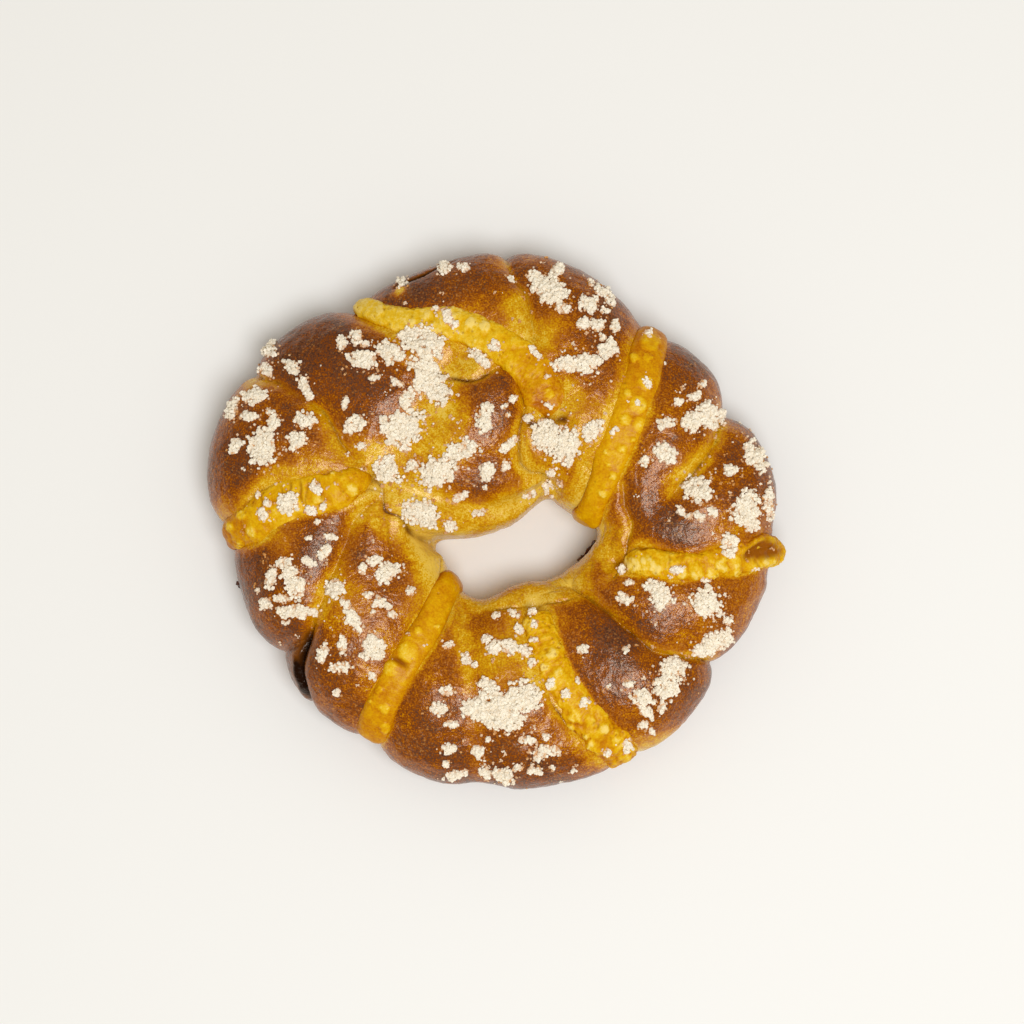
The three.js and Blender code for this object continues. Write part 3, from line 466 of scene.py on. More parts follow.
# One large soft light high at the lower right, and a dim even surround, in metres and watts
LIGHT_PLACE = (0.38, -0.52, 2)
LIGHT_AIM = (0, 0, 0.03)
LIGHT_SIZE = 1.15
LIGHT_POWER = 27.6
LIGHT_COLOUR = (0.975, 1, 1.03)
SURROUND_COLOUR = (1, 0.94, 0.82, 1)
SURROUND_STRENGTH = 0.53

# Half the floor's width and the camera's sensor in millimetres, and how far the camera sees in metres
FLOOR_HALF = 1500
SENSOR_WIDTH = 36
FARTHEST_SEEN = 20


def smooth_share(x, low, high):
    """0 below low, 1 above high and a smooth step between."""
    t = np.clip((x - low) / (high - low), 0, 1)
    return t * t * (3 - 2 * t)


def wander(x, y, z, size):
    """A repeatable number between -1 and 1 that wanders with the place."""
    a = np.sin(x / size + 1.7 * np.sin(y / size + 0.6)) + np.sin(y / size * 1.3 + 2.1 * np.cos(z / size))
    return (a + np.sin(z / size * 1.1 + 1.3 * np.sin(x / size * 0.8 + 2))) / 3


def fractal(points, size, octaves=3):
    """Blender's own fractal noise at each point, about -1 to 1."""
    return np.array([noise.fractal(Vector(p), 0.8, 2.1, octaves) for p in (points / size).tolist()])


def round_the_ring(table, degrees):
    """A smooth value round the ring through (degrees, value) pairs."""
    stops = np.array(table, float)
    count = len(stops)
    turn = np.asarray(degrees, float) % 360
    first = np.searchsorted(stops[:, 0], turn, side="right") - 1
    before, start, end, after = (stops[(first + step) % count] for step in (-1, 0, 1, 2))
    span = (end[..., 0] - start[..., 0]) % 360
    share = ((turn - start[..., 0]) % 360) / span
    slope = (end[..., 1] - start[..., 1]) / span
    slope_in = (slope + (start[..., 1] - before[..., 1]) / ((start[..., 0] - before[..., 0]) % 360)) / 2
    slope_out = (slope + (after[..., 1] - end[..., 1]) / ((after[..., 0] - end[..., 0]) % 360)) / 2
    rest = 1 - share
    ends = start[..., 1] * rest**2 * (1 + 2 * share) + end[..., 1] * share**2 * (1 + 2 * rest)
    return ends + span * share * rest * (slope_in * rest - slope_out * share)


def ring_point(degrees, over):
    """Points of the smooth ring that the plaited loaf is formed on."""
    degrees, over = np.broadcast_arrays(np.asarray(degrees, float), np.asarray(over, float))
    outer = round_the_ring(OUTER_REACH, degrees)
    hole = round_the_ring(HOLE_REACH, degrees)
    crown = CROWN_HEIGHT + CROWN_SWELL * np.cos(np.radians(degrees - HIGHEST_AT))
    share = np.clip(over, 0, 1)
    reach = hole + (outer - hole) * (1 - np.cos(np.pi * share)) / 2
    height = WAIST_HEIGHT + (crown - WAIST_HEIGHT) * np.sin(np.pi * share).clip(0) ** TOP_ROUNDNESS
    beyond = np.where(over < 0, -over, over - 1).clip(0, WALL) / WALL
    down = beyond * np.pi / 2
    tuck = np.where(over < 0, HOLE_TUCK, -OUTER_TUCK)
    on_wall = beyond > 0
    reach = np.where(on_wall, reach + tuck * (1 - np.cos(down)), reach)
    height = np.where(on_wall, WAIST_HEIGHT * (1 - np.sin(down)), height)
    turn = np.radians(degrees)
    east = HOLE_MIDDLE[0] + reach * np.cos(turn)
    north = HOLE_MIDDLE[1] + reach * np.sin(turn)
    return np.stack([east, north, height], -1)


def ring_normal(degrees, over):
    """The outward direction of the smooth ring."""
    along = ring_point(degrees + 0.5, over) - ring_point(degrees - 0.5, over)
    across = ring_point(degrees, over + 0.01) - ring_point(degrees, over - 0.01)
    normal = np.cross(across, along)
    return normal / np.linalg.norm(normal, axis=-1, keepdims=True)


def smooth_path(rows, count):
    """Points along a centripetal Catmull-Rom curve through (degrees, over, ...) rows."""
    points = np.array([(*row, 0)[:3] for row in rows], float)
    points[:, 0] += 360 * np.round((points[0, 0] - points[:, 0]) / 360)
    points[:, 1] *= 100
    padded = np.vstack([2 * points[0] - points[1], points, 2 * points[-1] - points[-2]])
    place = np.linspace(0, len(points) - 1, count + 1)
    first = np.minimum(place.astype(int), len(points) - 2)
    share = (place - first)[:, None]
    p0, p1, p2, p3 = (padded[first + step] for step in range(4))
    pairs = ((p0, p1), (p1, p2), (p2, p3))
    d0, d1, d2 = (np.linalg.norm(b - a, axis=1, keepdims=True) ** 0.5 for a, b in pairs)
    slope_in = ((p1 - p0) / d0 - (p2 - p0) / (d0 + d1) + (p2 - p1) / d1) * d1
    slope_out = ((p2 - p1) / d1 - (p3 - p1) / (d1 + d2) + (p3 - p2) / d2) * d1
    square = -3 * p1 + 3 * p2 - 2 * slope_in - slope_out
    cube = 2 * p1 - 2 * p2 + slope_in + slope_out
    path = p1 + slope_in * share + square * share**2 + cube * share**3
    return path[:, 0], path[:, 1] / 100, path[:, 2]


def near_path(line, points, normals, reach):
    """For points within reach of a line: which they are, how far off, whether left, and how far along."""
    low = line.min(0) - reach
    high = line.max(0) + reach
    which = np.flatnonzero(((points > low) & (points < high)).all(1))
    near = points[which]
    best = np.full(len(which), np.inf)
    side = np.zeros(len(which))
    along = np.zeros(len(which))
    for i, (start, end) in enumerate(zip(line[:-1], line[1:])):
        step = end - start
        share = ((near - start) @ step / (step @ step)).clip(0, 1)
        apart = near - start - share[:, None] * step
        square = (apart**2).sum(1)
        closer = square < best
        best[closer] = square[closer]
        across = np.cross(normals[which[closer]], step)
        side[closer] = (apart[closer] * across).sum(1)
        along[closer] = (i + share[closer]) / (len(line) - 1)
    return which, np.sqrt(best), side > 0, along


def crease_line(path, steps=6, meander=0.5):
    """A crease's line over the smooth ring, wandering a little as dough does."""
    degrees, over, _ = smooth_path(path, (len(path) - 1) * steps)
    points = ring_point(degrees, over)
    degrees = degrees + meander * wander(points[:, 0], points[:, 1], 3, 4)
    return ring_point(degrees, over + meander * 0.01 * wander(points[:, 1], points[:, 0], 8, 5))


CREASE_LINES = [crease_line(crease.path) for crease in CREASES]
FOLD_LINES = [crease_line(fold[-1]) for fold in FOLDS]


# The camera, as the photograph was taken, and its directions to the right and up
TILT = math.radians(CAMERA_ELEVATION)
CAMERA_RIGHT = np.array([1.0, 0, 0])
CAMERA_UP = np.array([0, math.sin(TILT), math.cos(TILT)])
CAMERA_TARGET = np.array([
    (PHOTO_MIDDLE_PIXEL[0] - LOAF_MIDDLE_PIXEL[0]) * MM_PER_PIXEL,
    (LOAF_MIDDLE_PIXEL[1] - PHOTO_MIDDLE_PIXEL[1]) * MM_PER_PIXEL,
    LOAF_MID_HEIGHT,
])
CAMERA_EYE = CAMERA_TARGET + CAMERA_DISTANCE * np.array([0, -math.cos(TILT), math.sin(TILT)])


def to_photo(points):
    """The pixels of the photograph where points show."""
    forward = (CAMERA_TARGET - CAMERA_EYE) / CAMERA_DISTANCE
    away = points - CAMERA_EYE
    scale = CAMERA_DISTANCE / MM_PER_PIXEL / (away @ forward)
    return np.stack([
        PHOTO_MIDDLE_PIXEL[0] + away @ CAMERA_RIGHT * scale,
        PHOTO_MIDDLE_PIXEL[1] - away @ CAMERA_UP * scale,
    ], -1)


def rolled_in(apart, width, soft=False):
    """How far dough has rolled in at a distance from a crease, 1 in its bottom and 0 from its width on."""
    share = (apart / width).clip(0, 1)
    return (1 - share**2) ** 2 if soft else 1 - np.sqrt(1 - (1 - share) ** 2)


def hills(points, rows):
    """The sum at each point of round hills on the ring, from rows of (degrees, over, spread, height)."""
    total = np.zeros(len(points))
    for degrees, over, spread, height in rows:
        away = np.linalg.norm(points - ring_point(degrees, over), axis=1) / spread
        total += height * np.exp(-away * away)
    return total


def crust(degrees, over):
    """The loaf's crust at each place: its point, outward direction, browning and how much painted crease
    shade.
    """
    points = ring_point(degrees, over)
    normals = ring_normal(degrees, over)
    x, y, z = points.T
    upward = normals[:, 2].clip(0, 1)
    move = UNEVENNESS * wander(x, y, z, 9) + upward * hills(points, SWELLINGS)
    brown = BAKED_LEVEL + OUTER_WALL_BROWNING * smooth_share(over, 0.84, 1.05)
    brown = brown - HOLE_WALL_PALENESS * smooth_share(-over, -0.3, -0.08) + hills(points, BROWNING)
    stretch = 1 + 0.15 * wander(y, z, x, 12)
    patchy = (0.6 + 0.6 * wander(z, x, y, 3.5)).clip(0.1, 1)
    deepest, total, gold, seam = np.zeros((4, len(points)))
    for crease, line in zip(CREASES, CREASE_LINES):
        strength, gold_left, gold_right = crease.gold
        dark, dark_width = crease.seam
        reach = 1.2 * max(crease.left, crease.right)
        which, apart, left, along = near_path(line, points, normals, reach)
        width = stretch[which] * np.where(left, crease.left, crease.right)
        depth = crease.depth * rolled_in(apart, width, crease.soft)
        deepest[which] = np.maximum(deepest[which], depth)
        total[which] += depth
        reach_of_gold = stretch[which] ** 2 * np.where(left, gold_left, gold_right)
        clear = (apart - crease.cover).clip(0)
        paleness = strength * (1 - clear / reach_of_gold).clip(0, 1) ** 0.7
        gold[which] = np.maximum(gold[which], paleness)
        # Painted shade: a dark line along the crease's bottom, fading out at its ends
        fade = smooth_share(along, 0, 0.1) * smooth_share(1 - along, 0, 0.2)
        dark = dark * fade * (1 if dark == 1 else patchy[which])
        seam[which] = np.maximum(seam[which], dark * np.exp(-((apart / dark_width) ** 2)))
    on_wall = CREASE_ON_WALL + (1 - CREASE_ON_WALL) * upward
    move -= on_wall * (deepest + CREASES_ADD * (total - deepest))
    for (fold_depth, fold_left, fold_right, dark, dark_width, _), line in zip(FOLDS, FOLD_LINES):
        reach = max(fold_left, fold_right, 2 * dark_width)
        which, apart, left, along = near_path(line, points, normals, reach)
        fade = smooth_share(along, 0, 0.3) * smooth_share(1 - along, 0, 0.3)
        move[which] -= fold_depth * fade * rolled_in(apart, np.where(left, fold_left, fold_right))
        # Painted shade along the fold's bottom
        line = np.exp(-((apart / dark_width) ** 2))
        seam[which] = np.maximum(seam[which], (dark * fade * patchy[which] * line).clip(0, 1))
    gold *= 1 - 0.75 * smooth_share(over, 0.86, 1.1)
    rise = normals * move[:, None]
    rise[:, 2] *= (z / FOOT_HEIGHT).clip(0, 1)
    points = points + rise
    points[:, 2] = points[:, 2].clip(0)
    return points, normals, np.maximum(brown - gold, PALEST + 0.3 * (brown - gold)), seam


def strip_frame(rows, steps):
    """A strip's spine, its outward and sideways directions and its half width."""
    degrees, over, width = smooth_path(rows, steps)
    normal = ring_normal(degrees, over)
    dive = STRIP_DIVE * smooth_share(np.linspace(0, 1, steps + 1), STRIP_DIVE_FROM, 1)
    spine = ring_point(degrees, over) - (STRIP_SINK + dive[:, None]) * normal
    forward = np.gradient(spine, axis=0)
    forward /= np.linalg.norm(forward, axis=1, keepdims=True)
    sideways = np.cross(forward, normal)
    sideways /= np.linalg.norm(sideways, axis=1, keepdims=True)
    return spine, normal, sideways, width


STRIP_FRAMES = {name: strip_frame(rows, STRIP_FRAME_STEPS) for name, rows in STRIPS.items()}


def top_point(degrees, over):
    """What sugar lies on at each place: the crust, or a custard strip that stands above it."""
    points, normals, *_ = crust(degrees, over)
    smooth = ring_point(degrees, over)
    height = ((points - smooth) * normals).sum(1)
    for spine, _, _, width in STRIP_FRAMES.values():
        gap = smooth[:, None] - spine[None]
        nearest = np.linalg.norm(gap, axis=2).argmin(1)
        offset = gap[np.arange(len(smooth)), nearest]
        outward = (offset * normals).sum(1)
        beside = np.linalg.norm(offset - outward[:, None] * normals, axis=1) / width[nearest]
        power = 2 / STRIP_SQUARENESS
        strip_top = -outward + STRIP_RISE * (1 - beside.clip(0, 1) ** power) ** (1 / power)
        height = np.where(beside < 1, np.maximum(height, strip_top), height)
    return smooth + normals * height[:, None], normals


def add_mesh(name, points, faces, material, fields=None, smooth=True):
    """A mesh object from points in millimetres and faces of one size, with named values at its points."""
    faces = np.asarray(faces)
    mesh = bpy.data.meshes.new(name)
    mesh.vertices.add(len(points))
    mesh.vertices.foreach_set("co", (np.asarray(points) * MM).astype(np.float32).ravel())
    mesh.loops.add(faces.size)
    mesh.loops.foreach_set("vertex_index", faces.astype(np.int32).ravel())
    mesh.polygons.add(len(faces))
    mesh.polygons.foreach_set("loop_start", np.arange(0, faces.size, faces.shape[1], dtype=np.int32))
    mesh.update(calc_edges=True)
    mesh.polygons.foreach_set("use_smooth", np.full(len(faces), smooth))
    for field, values in (fields or {}).items():
        is_vector = values.shape[-1] == 3
        attribute = mesh.attributes.new(field, "FLOAT_VECTOR" if is_vector else "FLOAT", "POINT")
        attribute.data.foreach_set("vector" if is_vector else "value", values.ravel().astype(np.float32))
    mesh.validate()
    mesh.materials.append(material)
    piece = bpy.data.objects.new(name, mesh)
    bpy.context.scene.collection.objects.link(piece)
    return piece


def grid_faces(rows, columns, wrap_rows, wrap_columns):
    """Quads over a grid of points, row by row, closed on itself where it wraps."""
    i = np.arange(rows if wrap_rows else rows - 1)[:, None]
    j = np.arange(columns if wrap_columns else columns - 1)[None, :]
    i2 = (i + 1) % rows
    j2 = (j + 1) % columns
    corners = (i * columns + j, i2 * columns + j, i2 * columns + j2, i * columns + j2)
    return np.stack(corners, -1).reshape(-1, 4)


def from_screen(*colour):
    """A linear colour from screen values of 0 to 255."""
    return (*(c / 255 / 12.92 if c <= 10 else ((c / 255 + 0.055) / 1.055) ** 2.4 for c in colour), 1)


class Look:
    """A material, with short ways to add nodes to it that give the new node's output."""

    def __init__(self, name):
        self.material = bpy.data.materials.new(name)
        self.material.use_nodes = True
        self.tree = self.material.node_tree

    def put(self, node, inputs):
        """Sets a node's inputs, each to a value or to another node's output."""
        for key, value in inputs.items():
            if isinstance(value, bpy.types.NodeSocket):
                self.tree.links.new(value, node.inputs[key])
            else:
                node.inputs[key].default_value = value

    def add(self, kind, inputs, **settings):
        """A new node of a kind, with its inputs and settings."""
        node = self.tree.nodes.new("ShaderNode" + kind)
        for key, value in settings.items():
            setattr(node, key, value)
        self.put(node, inputs)
        return node

    def attribute(self, name, output="Fac"):
        return self.add("Attribute", {}, attribute_name=name).outputs[output]

    def noise(self, scale, detail=2, roughness=0.5, where=None):
        """Noise over the place in metres or over another vector, mostly from 0.3 to 0.7."""
        if where is None:
            where = self.add("NewGeometry", {}).outputs["Position"]
        inputs = {"Vector": where, "Scale": scale, "Detail": detail, "Roughness": roughness}
        return self.add("TexNoise", inputs).outputs["Fac"]

    def remap(self, value, low, high, to_low=0, to_high=1):
        inputs = {"Value": value, "From Min": low, "From Max": high, "To Min": to_low, "To Max": to_high}
        return self.add("MapRange", inputs).outputs["Result"]

    def either_way(self, noise, amount):
        """Noise as a change of up to an amount either way."""
        return self.remap(noise, 0.3, 0.7, -amount, amount)

    def math(self, operation, *values):
        return self.add("Math", dict(enumerate(values)), operation=operation).outputs[0]

    def mix(self, share, first, second):
        return self.add("Mix", {0: share, 6: first, 7: second}, data_type="RGBA").outputs[2]

    def colours(self, level, *stops):
        """The colour at a level, from stops of (level, red, green, blue) in screen values."""
        node = self.add("ValToRGB", {"Fac": level})
        elements = node.color_ramp.elements
        elements.remove(elements[-1])
        for i, (place, *colour) in enumerate(stops):
            element = elements[0] if i == 0 else elements.new(place)
            element.position = place
            element.color = from_screen(*colour)
        return node.outputs["Color"]

    def bump(self, height, strength, distance, normal=None):
        inputs = {"Height": height, "Strength": strength, "Distance": distance}
        if normal is not None:
            inputs["Normal"] = normal
        return self.add("Bump", inputs).outputs["Normal"]

    def finish(self, inputs):
        """The material, with its shader's own inputs set."""
        self.put(self.tree.nodes["Principled BSDF"], inputs)
        return self.material


def crust_material():
    """Egg-washed crust: gold where it stayed pale, through orange-brown to a dull dark brown."""
    look = Look("crust")
    brown = look.attribute("brown")
    seam = look.attribute("seam")
    blotches = look.noise(70, 5, 0.65)
    fibres = look.noise(1, 3, 0.6, look.attribute("flow", "Vector"))
    specks = look.noise(420, 3, 0.65)
    grain = look.noise(1300, 1)
    blisters = look.noise(900)
    fineness = look.remap(brown, 0.24, 0.6, 0.36, 1)
    level = brown
    textures = ((blotches, 0.13, 1), (fibres, 0.055, 1), (specks, 0.12, fineness), (grain, 0.26, fineness))
    for texture, amount, share in textures:
        level = look.math("MULTIPLY_ADD", look.either_way(texture, amount), share, level)
    baked = look.colours(
        level, (0, 230, 192, 76), (0.06, 220, 174, 32), (0.12, 212, 156, 0), (0.2, 198, 134, 0),
        (0.3, 182, 108, 0), (0.42, 160, 86, 3), (0.55, 138, 69, 6), (0.68, 119, 61, 18),
        (0.82, 104, 63, 42), (1, 82, 47, 29),
    )
    tan = look.remap(blisters, 0.55, 0.68, 0, 0.6)
    flecks = look.math("MULTIPLY", tan, look.remap(blotches, 0.47, 0.6))
    speckled = look.mix(flecks, baked, from_screen(196, 134, 66))
    # Painted shade, from orange-brown to near black, in the bottoms of creases, folds and cracks
    dark = look.colours(seam, (0, 158, 92, 4), (0.5, 110, 58, 4), (1, 34, 14, 4))
    return look.finish({
        "Base Color": look.mix(look.remap(seam, 0, 0.5), speckled, dark),
        "Roughness": look.remap(blotches, 0.3, 0.7, 0.17, 0.27),
        "Specular IOR Level": 0.6,
        "Specular Tint": (1, 0.84, 0.7, 1),
        "Normal": look.bump(specks, 0.45, 0.0008, look.bump(blisters, 0.6, 0.0003)),
    })


def custard_material():
    """Baked custard: bright yellow, a duller orange skin in blotches, pale bubbles, brown pits, painted
    shade at sides and cuts.
    """
    look = Look("custard")
    blotched = look.math("ADD", look.attribute("pale"), look.either_way(look.noise(130, 6, 0.7), 0.16))
    level = look.math("ADD", blotched, look.either_way(look.noise(1100, 2, 0.6), 0.13))
    baked = look.colours(
        level, (0, 174, 94, 0), (0.2, 196, 124, 0), (0.4, 212, 150, 0), (0.6, 224, 172, 4),
        (0.8, 232, 190, 46), (1, 240, 208, 110),
    )
    return look.finish({
        # The pits' brown, also used as painted shade in the cuts and wrinkles
        "Base Color": look.mix(look.attribute("pits_and_cut_shade"), baked, from_screen(150, 84, 4)),
        "Roughness": 0.3,
        "Specular IOR Level": 0.12,
        "Normal": look.bump(look.noise(700, 3, 0.6), 0.4, 0.0005),
    })


def sugar_material():
    """Off-white sugar, toasted to tan where grains lie singly or against the crust."""
    look = Look("sugar")
    white = look.colours(look.noise(350, 2, 0.6), (0.3, 241, 227, 204), (0.55, 248, 239, 221))
    return look.finish({
        "Base Color": look.mix(look.attribute("toast"), white, from_screen(212, 152, 84)),
        "Roughness": 0.6,
        "Specular IOR Level": 0.3,
    })


def make_loaf(material):
    """The loaf's crust, closed underneath, with its browning and painted crease shade as values at its
    points.
    """
    turns = np.arange(ROUND_THE_RING) / ROUND_THE_RING * 360
    overs = 1 + WALL - np.arange(OVER_THE_TOP + 1) / OVER_THE_TOP * (1 + 2 * WALL)
    degrees, over = (grid.ravel() for grid in np.meshgrid(turns, overs, indexing="ij"))
    points, normals, brown, seam = crust(degrees, over)
    brown = brown + 0.12 * fractal(points, 11) * smooth_share(brown, 0.1, 0.5)
    bumps = fractal(points, 7) * 0.35 + fractal(points, 1.6) * 0.07
    points += normals * (bumps * (points[:, 2] / FOOT_HEIGHT).clip(0, 1))[:, None]
    shape = (ROUND_THE_RING, OVER_THE_TOP + 1)
    points = points.reshape(*shape, 3)
    shares = np.arange(1, BASE_COLUMNS)[None, :, None] / BASE_COLUMNS
    base = points[:, -1:] * (1 - shares) + points[:, :1] * shares
    points = np.concatenate([points, base], 1)
    brown = np.concatenate([brown.reshape(shape), np.full(base.shape[:2], BASE_BROWN)], 1)
    seam = np.concatenate([seam.reshape(shape), np.zeros(base.shape[:2])], 1)
    faces = grid_faces(ROUND_THE_RING, points.shape[1], True, True)
    across = np.append(overs, np.zeros(BASE_COLUMNS - 1))
    around = (turns[:, None] - STRAND_SLANT * across) / 360
    flow = np.stack(np.broadcast_arrays(around * FIBRES_ROUND, across * FIBRES_ACROSS, 0.0), -1)
    fields = {"brown": np.minimum(BROWN_SHARE * brown, DARKEST), "seam": seam, "flow": flow}
    piece = add_mesh("crust", points.reshape(-1, 3), faces, material, fields)
    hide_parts("bread")
    return piece


def spots(centres, sizes, places):
    """Strength at each place of round spots: 1 in a spot's middle, 0 from its rim on."""
    strength = np.zeros(len(places))
    for centre, size in zip(centres, sizes):
        away = np.linalg.norm(places - centre, axis=1) / size
        strength = np.maximum(strength, (1 - away * away).clip(0, 1))
    return strength


def cut_lines(places):
    """How deep the custard is cut or wrinkled at each pixel of the photograph."""
    depth = np.zeros(len(places))
    flat = np.zeros((len(places), 3))
    flat[:, :2] = places
    upright = np.tile([0, 0, 1.0], (len(places), 1))
    for width, deepest, path in CUTS:
        line = np.array([(*pixel, 0) for pixel in path], float)
        reach = 2 * width / MM_PER_PIXEL
        which, apart, _, along = near_path(line, flat, upright, reach)
        taper = np.sqrt((4 * along * (1 - along)).clip(0.1, 1))
        depth[which] = np.maximum(depth[which], deepest * taper * np.exp(-((2 * apart / reach) ** 2)))
    return depth


def make_strip(name, rows, material, random):
    """A strip of custard along its groove, lumpy, with round ends, pits, cuts and raised bubbles."""
    lumpiness, pit_count, paleness = STRIP_SKINS[name]
    spine, normal, sideways, width = strip_frame(rows, STRIP_STEPS)
    steps = np.linalg.norm(np.diff(spine, axis=0), axis=1)
    run = np.append(0, np.cumsum(steps))
    end = (np.minimum(run, run[-1] - run) / STRIP_END).clip(0, 1)
    fullness = np.sqrt(1 - (1 - end) ** 2)
    turn = np.arange(STRIP_SIDES) / STRIP_SIDES * 2 * np.pi
    cos, sin = np.cos(turn)[None], np.sin(turn)[None]
    sway = 1 + 0.06 * wander(spine[:, 0:1], spine[:, 1:2], 9 * cos, 5)
    sway = sway + 0.06 * lumpiness * wander(spine[:, 1:2], spine[:, 0:1], 5 * cos, 2.5)
    flat_cos = np.sign(cos) * np.abs(cos) ** STRIP_SQUARENESS
    flat_sin = np.sign(sin) * np.abs(sin) ** STRIP_SQUARENESS
    across = flat_cos * width[:, None] * sway * fullness[:, None]
    up = flat_sin * np.where(sin > 0, STRIP_RISE, STRIP_ROOT) * fullness[:, None]
    points = spine[:, None] + across[..., None] * sideways[:, None] + up[..., None] * normal[:, None]
    outward = cos[..., None] * sideways[:, None] + 2 * sin[..., None] * normal[:, None]
    outward /= np.linalg.norm(outward, axis=-1, keepdims=True)
    flat = points.reshape(-1, 3)
    height = np.broadcast_to(sin, points.shape[:2]).ravel()
    upper = flat[height > 0.45]
    pitted = upper[random.integers(0, len(upper), pit_count)]
    pits = spots(pitted, random.uniform(0.4, 0.9, pit_count), flat)
    bubbles = np.array(BUBBLES, float)
    pixels = to_photo(flat)
    bubble = spots(bubbles[:, :2], bubbles[:, 2], pixels + 1.2 * fractal(flat, 2)[:, None]) * (height > 0)
    cut = cut_lines(pixels) * (height > 0)
    lumps = fractal(flat, 6)
    froth = fractal(flat, 2.2)
    grain = fractal(flat, 0.9)
    swollen = smooth_share(bubble, 0.05, 0.85)
    rim = smooth_share(bubble, 0, 0.15) * smooth_share(-bubble, -0.45, -0.15)
    move = lumpiness * (0.9 * lumps + 0.4 * froth) + (0.05 + 0.1 * lumpiness) * grain
    move += 0.6 * swollen - 0.4 * pits - cut
    pale = np.repeat(np.interp(run / run[-1], (0, 0.5, 1), paleness), STRIP_SIDES)
    pale += (0.08 + 0.14 * lumpiness) * lumps + 0.2 * lumpiness * froth
    # Bubbles are paler with a slightly darker rim, and the strip's sides, where it meets the dough, get
    # painted shade
    pale += 0.36 * swollen * (1 + 0.5 * froth) - 0.09 * rim - 0.5 * smooth_share(-height, -0.6, -0.1)
    points = flat + outward.reshape(-1, 3) * (move * np.repeat(fullness, STRIP_SIDES))[:, None]
    faces = grid_faces(len(run), STRIP_SIDES, False, True)
    # Brown in the pits, and painted shade in the cuts and wrinkles, darker where they cut deeper
    dark = np.maximum(0.6 * pits, cut.clip(0, 1))
    piece = add_mesh(name + "_skin", points, faces[:, ::-1], material, {"pale": pale, "pits_and_cut_shade": dark})
    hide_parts(name)
    return piece


# A grain of sugar is a small block, turned its own way
BLOCK = np.array([(x, y, z) for x in (-1, 1) for y in (-1, 1) for z in (-1, 1)], float) / 2
BLOCK_FACES = np.array([(0, 1, 3, 2), (4, 6, 7, 5), (0, 4, 5, 1), (2, 3, 7, 6), (0, 2, 6, 4), (1, 5, 7, 3)])


def random_turns(random, count):
    """Random rotation matrices, from unit quaternions."""
    quaternions = random.normal(size=(count, 4))
    quaternions /= np.linalg.norm(quaternions, axis=1, keepdims=True)
    cross = np.cross(np.eye(3), quaternions[:, None, 1:])
    return np.eye(3) + 2 * quaternions[:, :1, None] * cross + 2 * cross @ cross


def grains(random, centres, sizes):
    """Small blocks of sugar, each turned and stretched its own way."""
    stretch = random.uniform(0.75, 1.25, (len(centres), 1, 3))
    turned = np.einsum("nij,nkj->nki", random_turns(random, len(centres)), BLOCK[None] * stretch)
    points = centres[:, None] + turned * sizes[:, None, None]
    faces = BLOCK_FACES[None] + 8 * np.arange(len(centres))[:, None, None]
    return points.reshape(-1, 3), faces.reshape(-1, 4)


def in_photo(x, y):
    """The place on the loaf that shows at each pixel of the photograph."""
    right = (x - PHOTO_MIDDLE_PIXEL[0]) * MM_PER_PIXEL
    up = (PHOTO_MIDDLE_PIXEL[1] - y) * MM_PER_PIXEL
    seen = CAMERA_TARGET + right[:, None] * CAMERA_RIGHT + up[:, None] * CAMERA_UP
    sight = seen - CAMERA_EYE
    height = np.full(len(seen), float(CROWN_HEIGHT))
    for _ in range(SIGHT_ROUNDS):
        flat = CAMERA_EYE + sight * ((height - CAMERA_EYE[2]) / sight[:, 2])[:, None]
        east, north = flat[:, 0] - HOLE_MIDDLE[0], flat[:, 1] - HOLE_MIDDLE[1]
        degrees = np.degrees(np.arctan2(north, east)) % 360
        hole = round_the_ring(HOLE_REACH, degrees)
        outer = round_the_ring(OUTER_REACH, degrees)
        share = ((np.hypot(east, north) - hole) / (outer - hole)).clip(0.002, 0.998)
        over = np.arccos(1 - 2 * share) / np.pi
        height = ring_point(degrees, over)[:, 2]
    return degrees, over


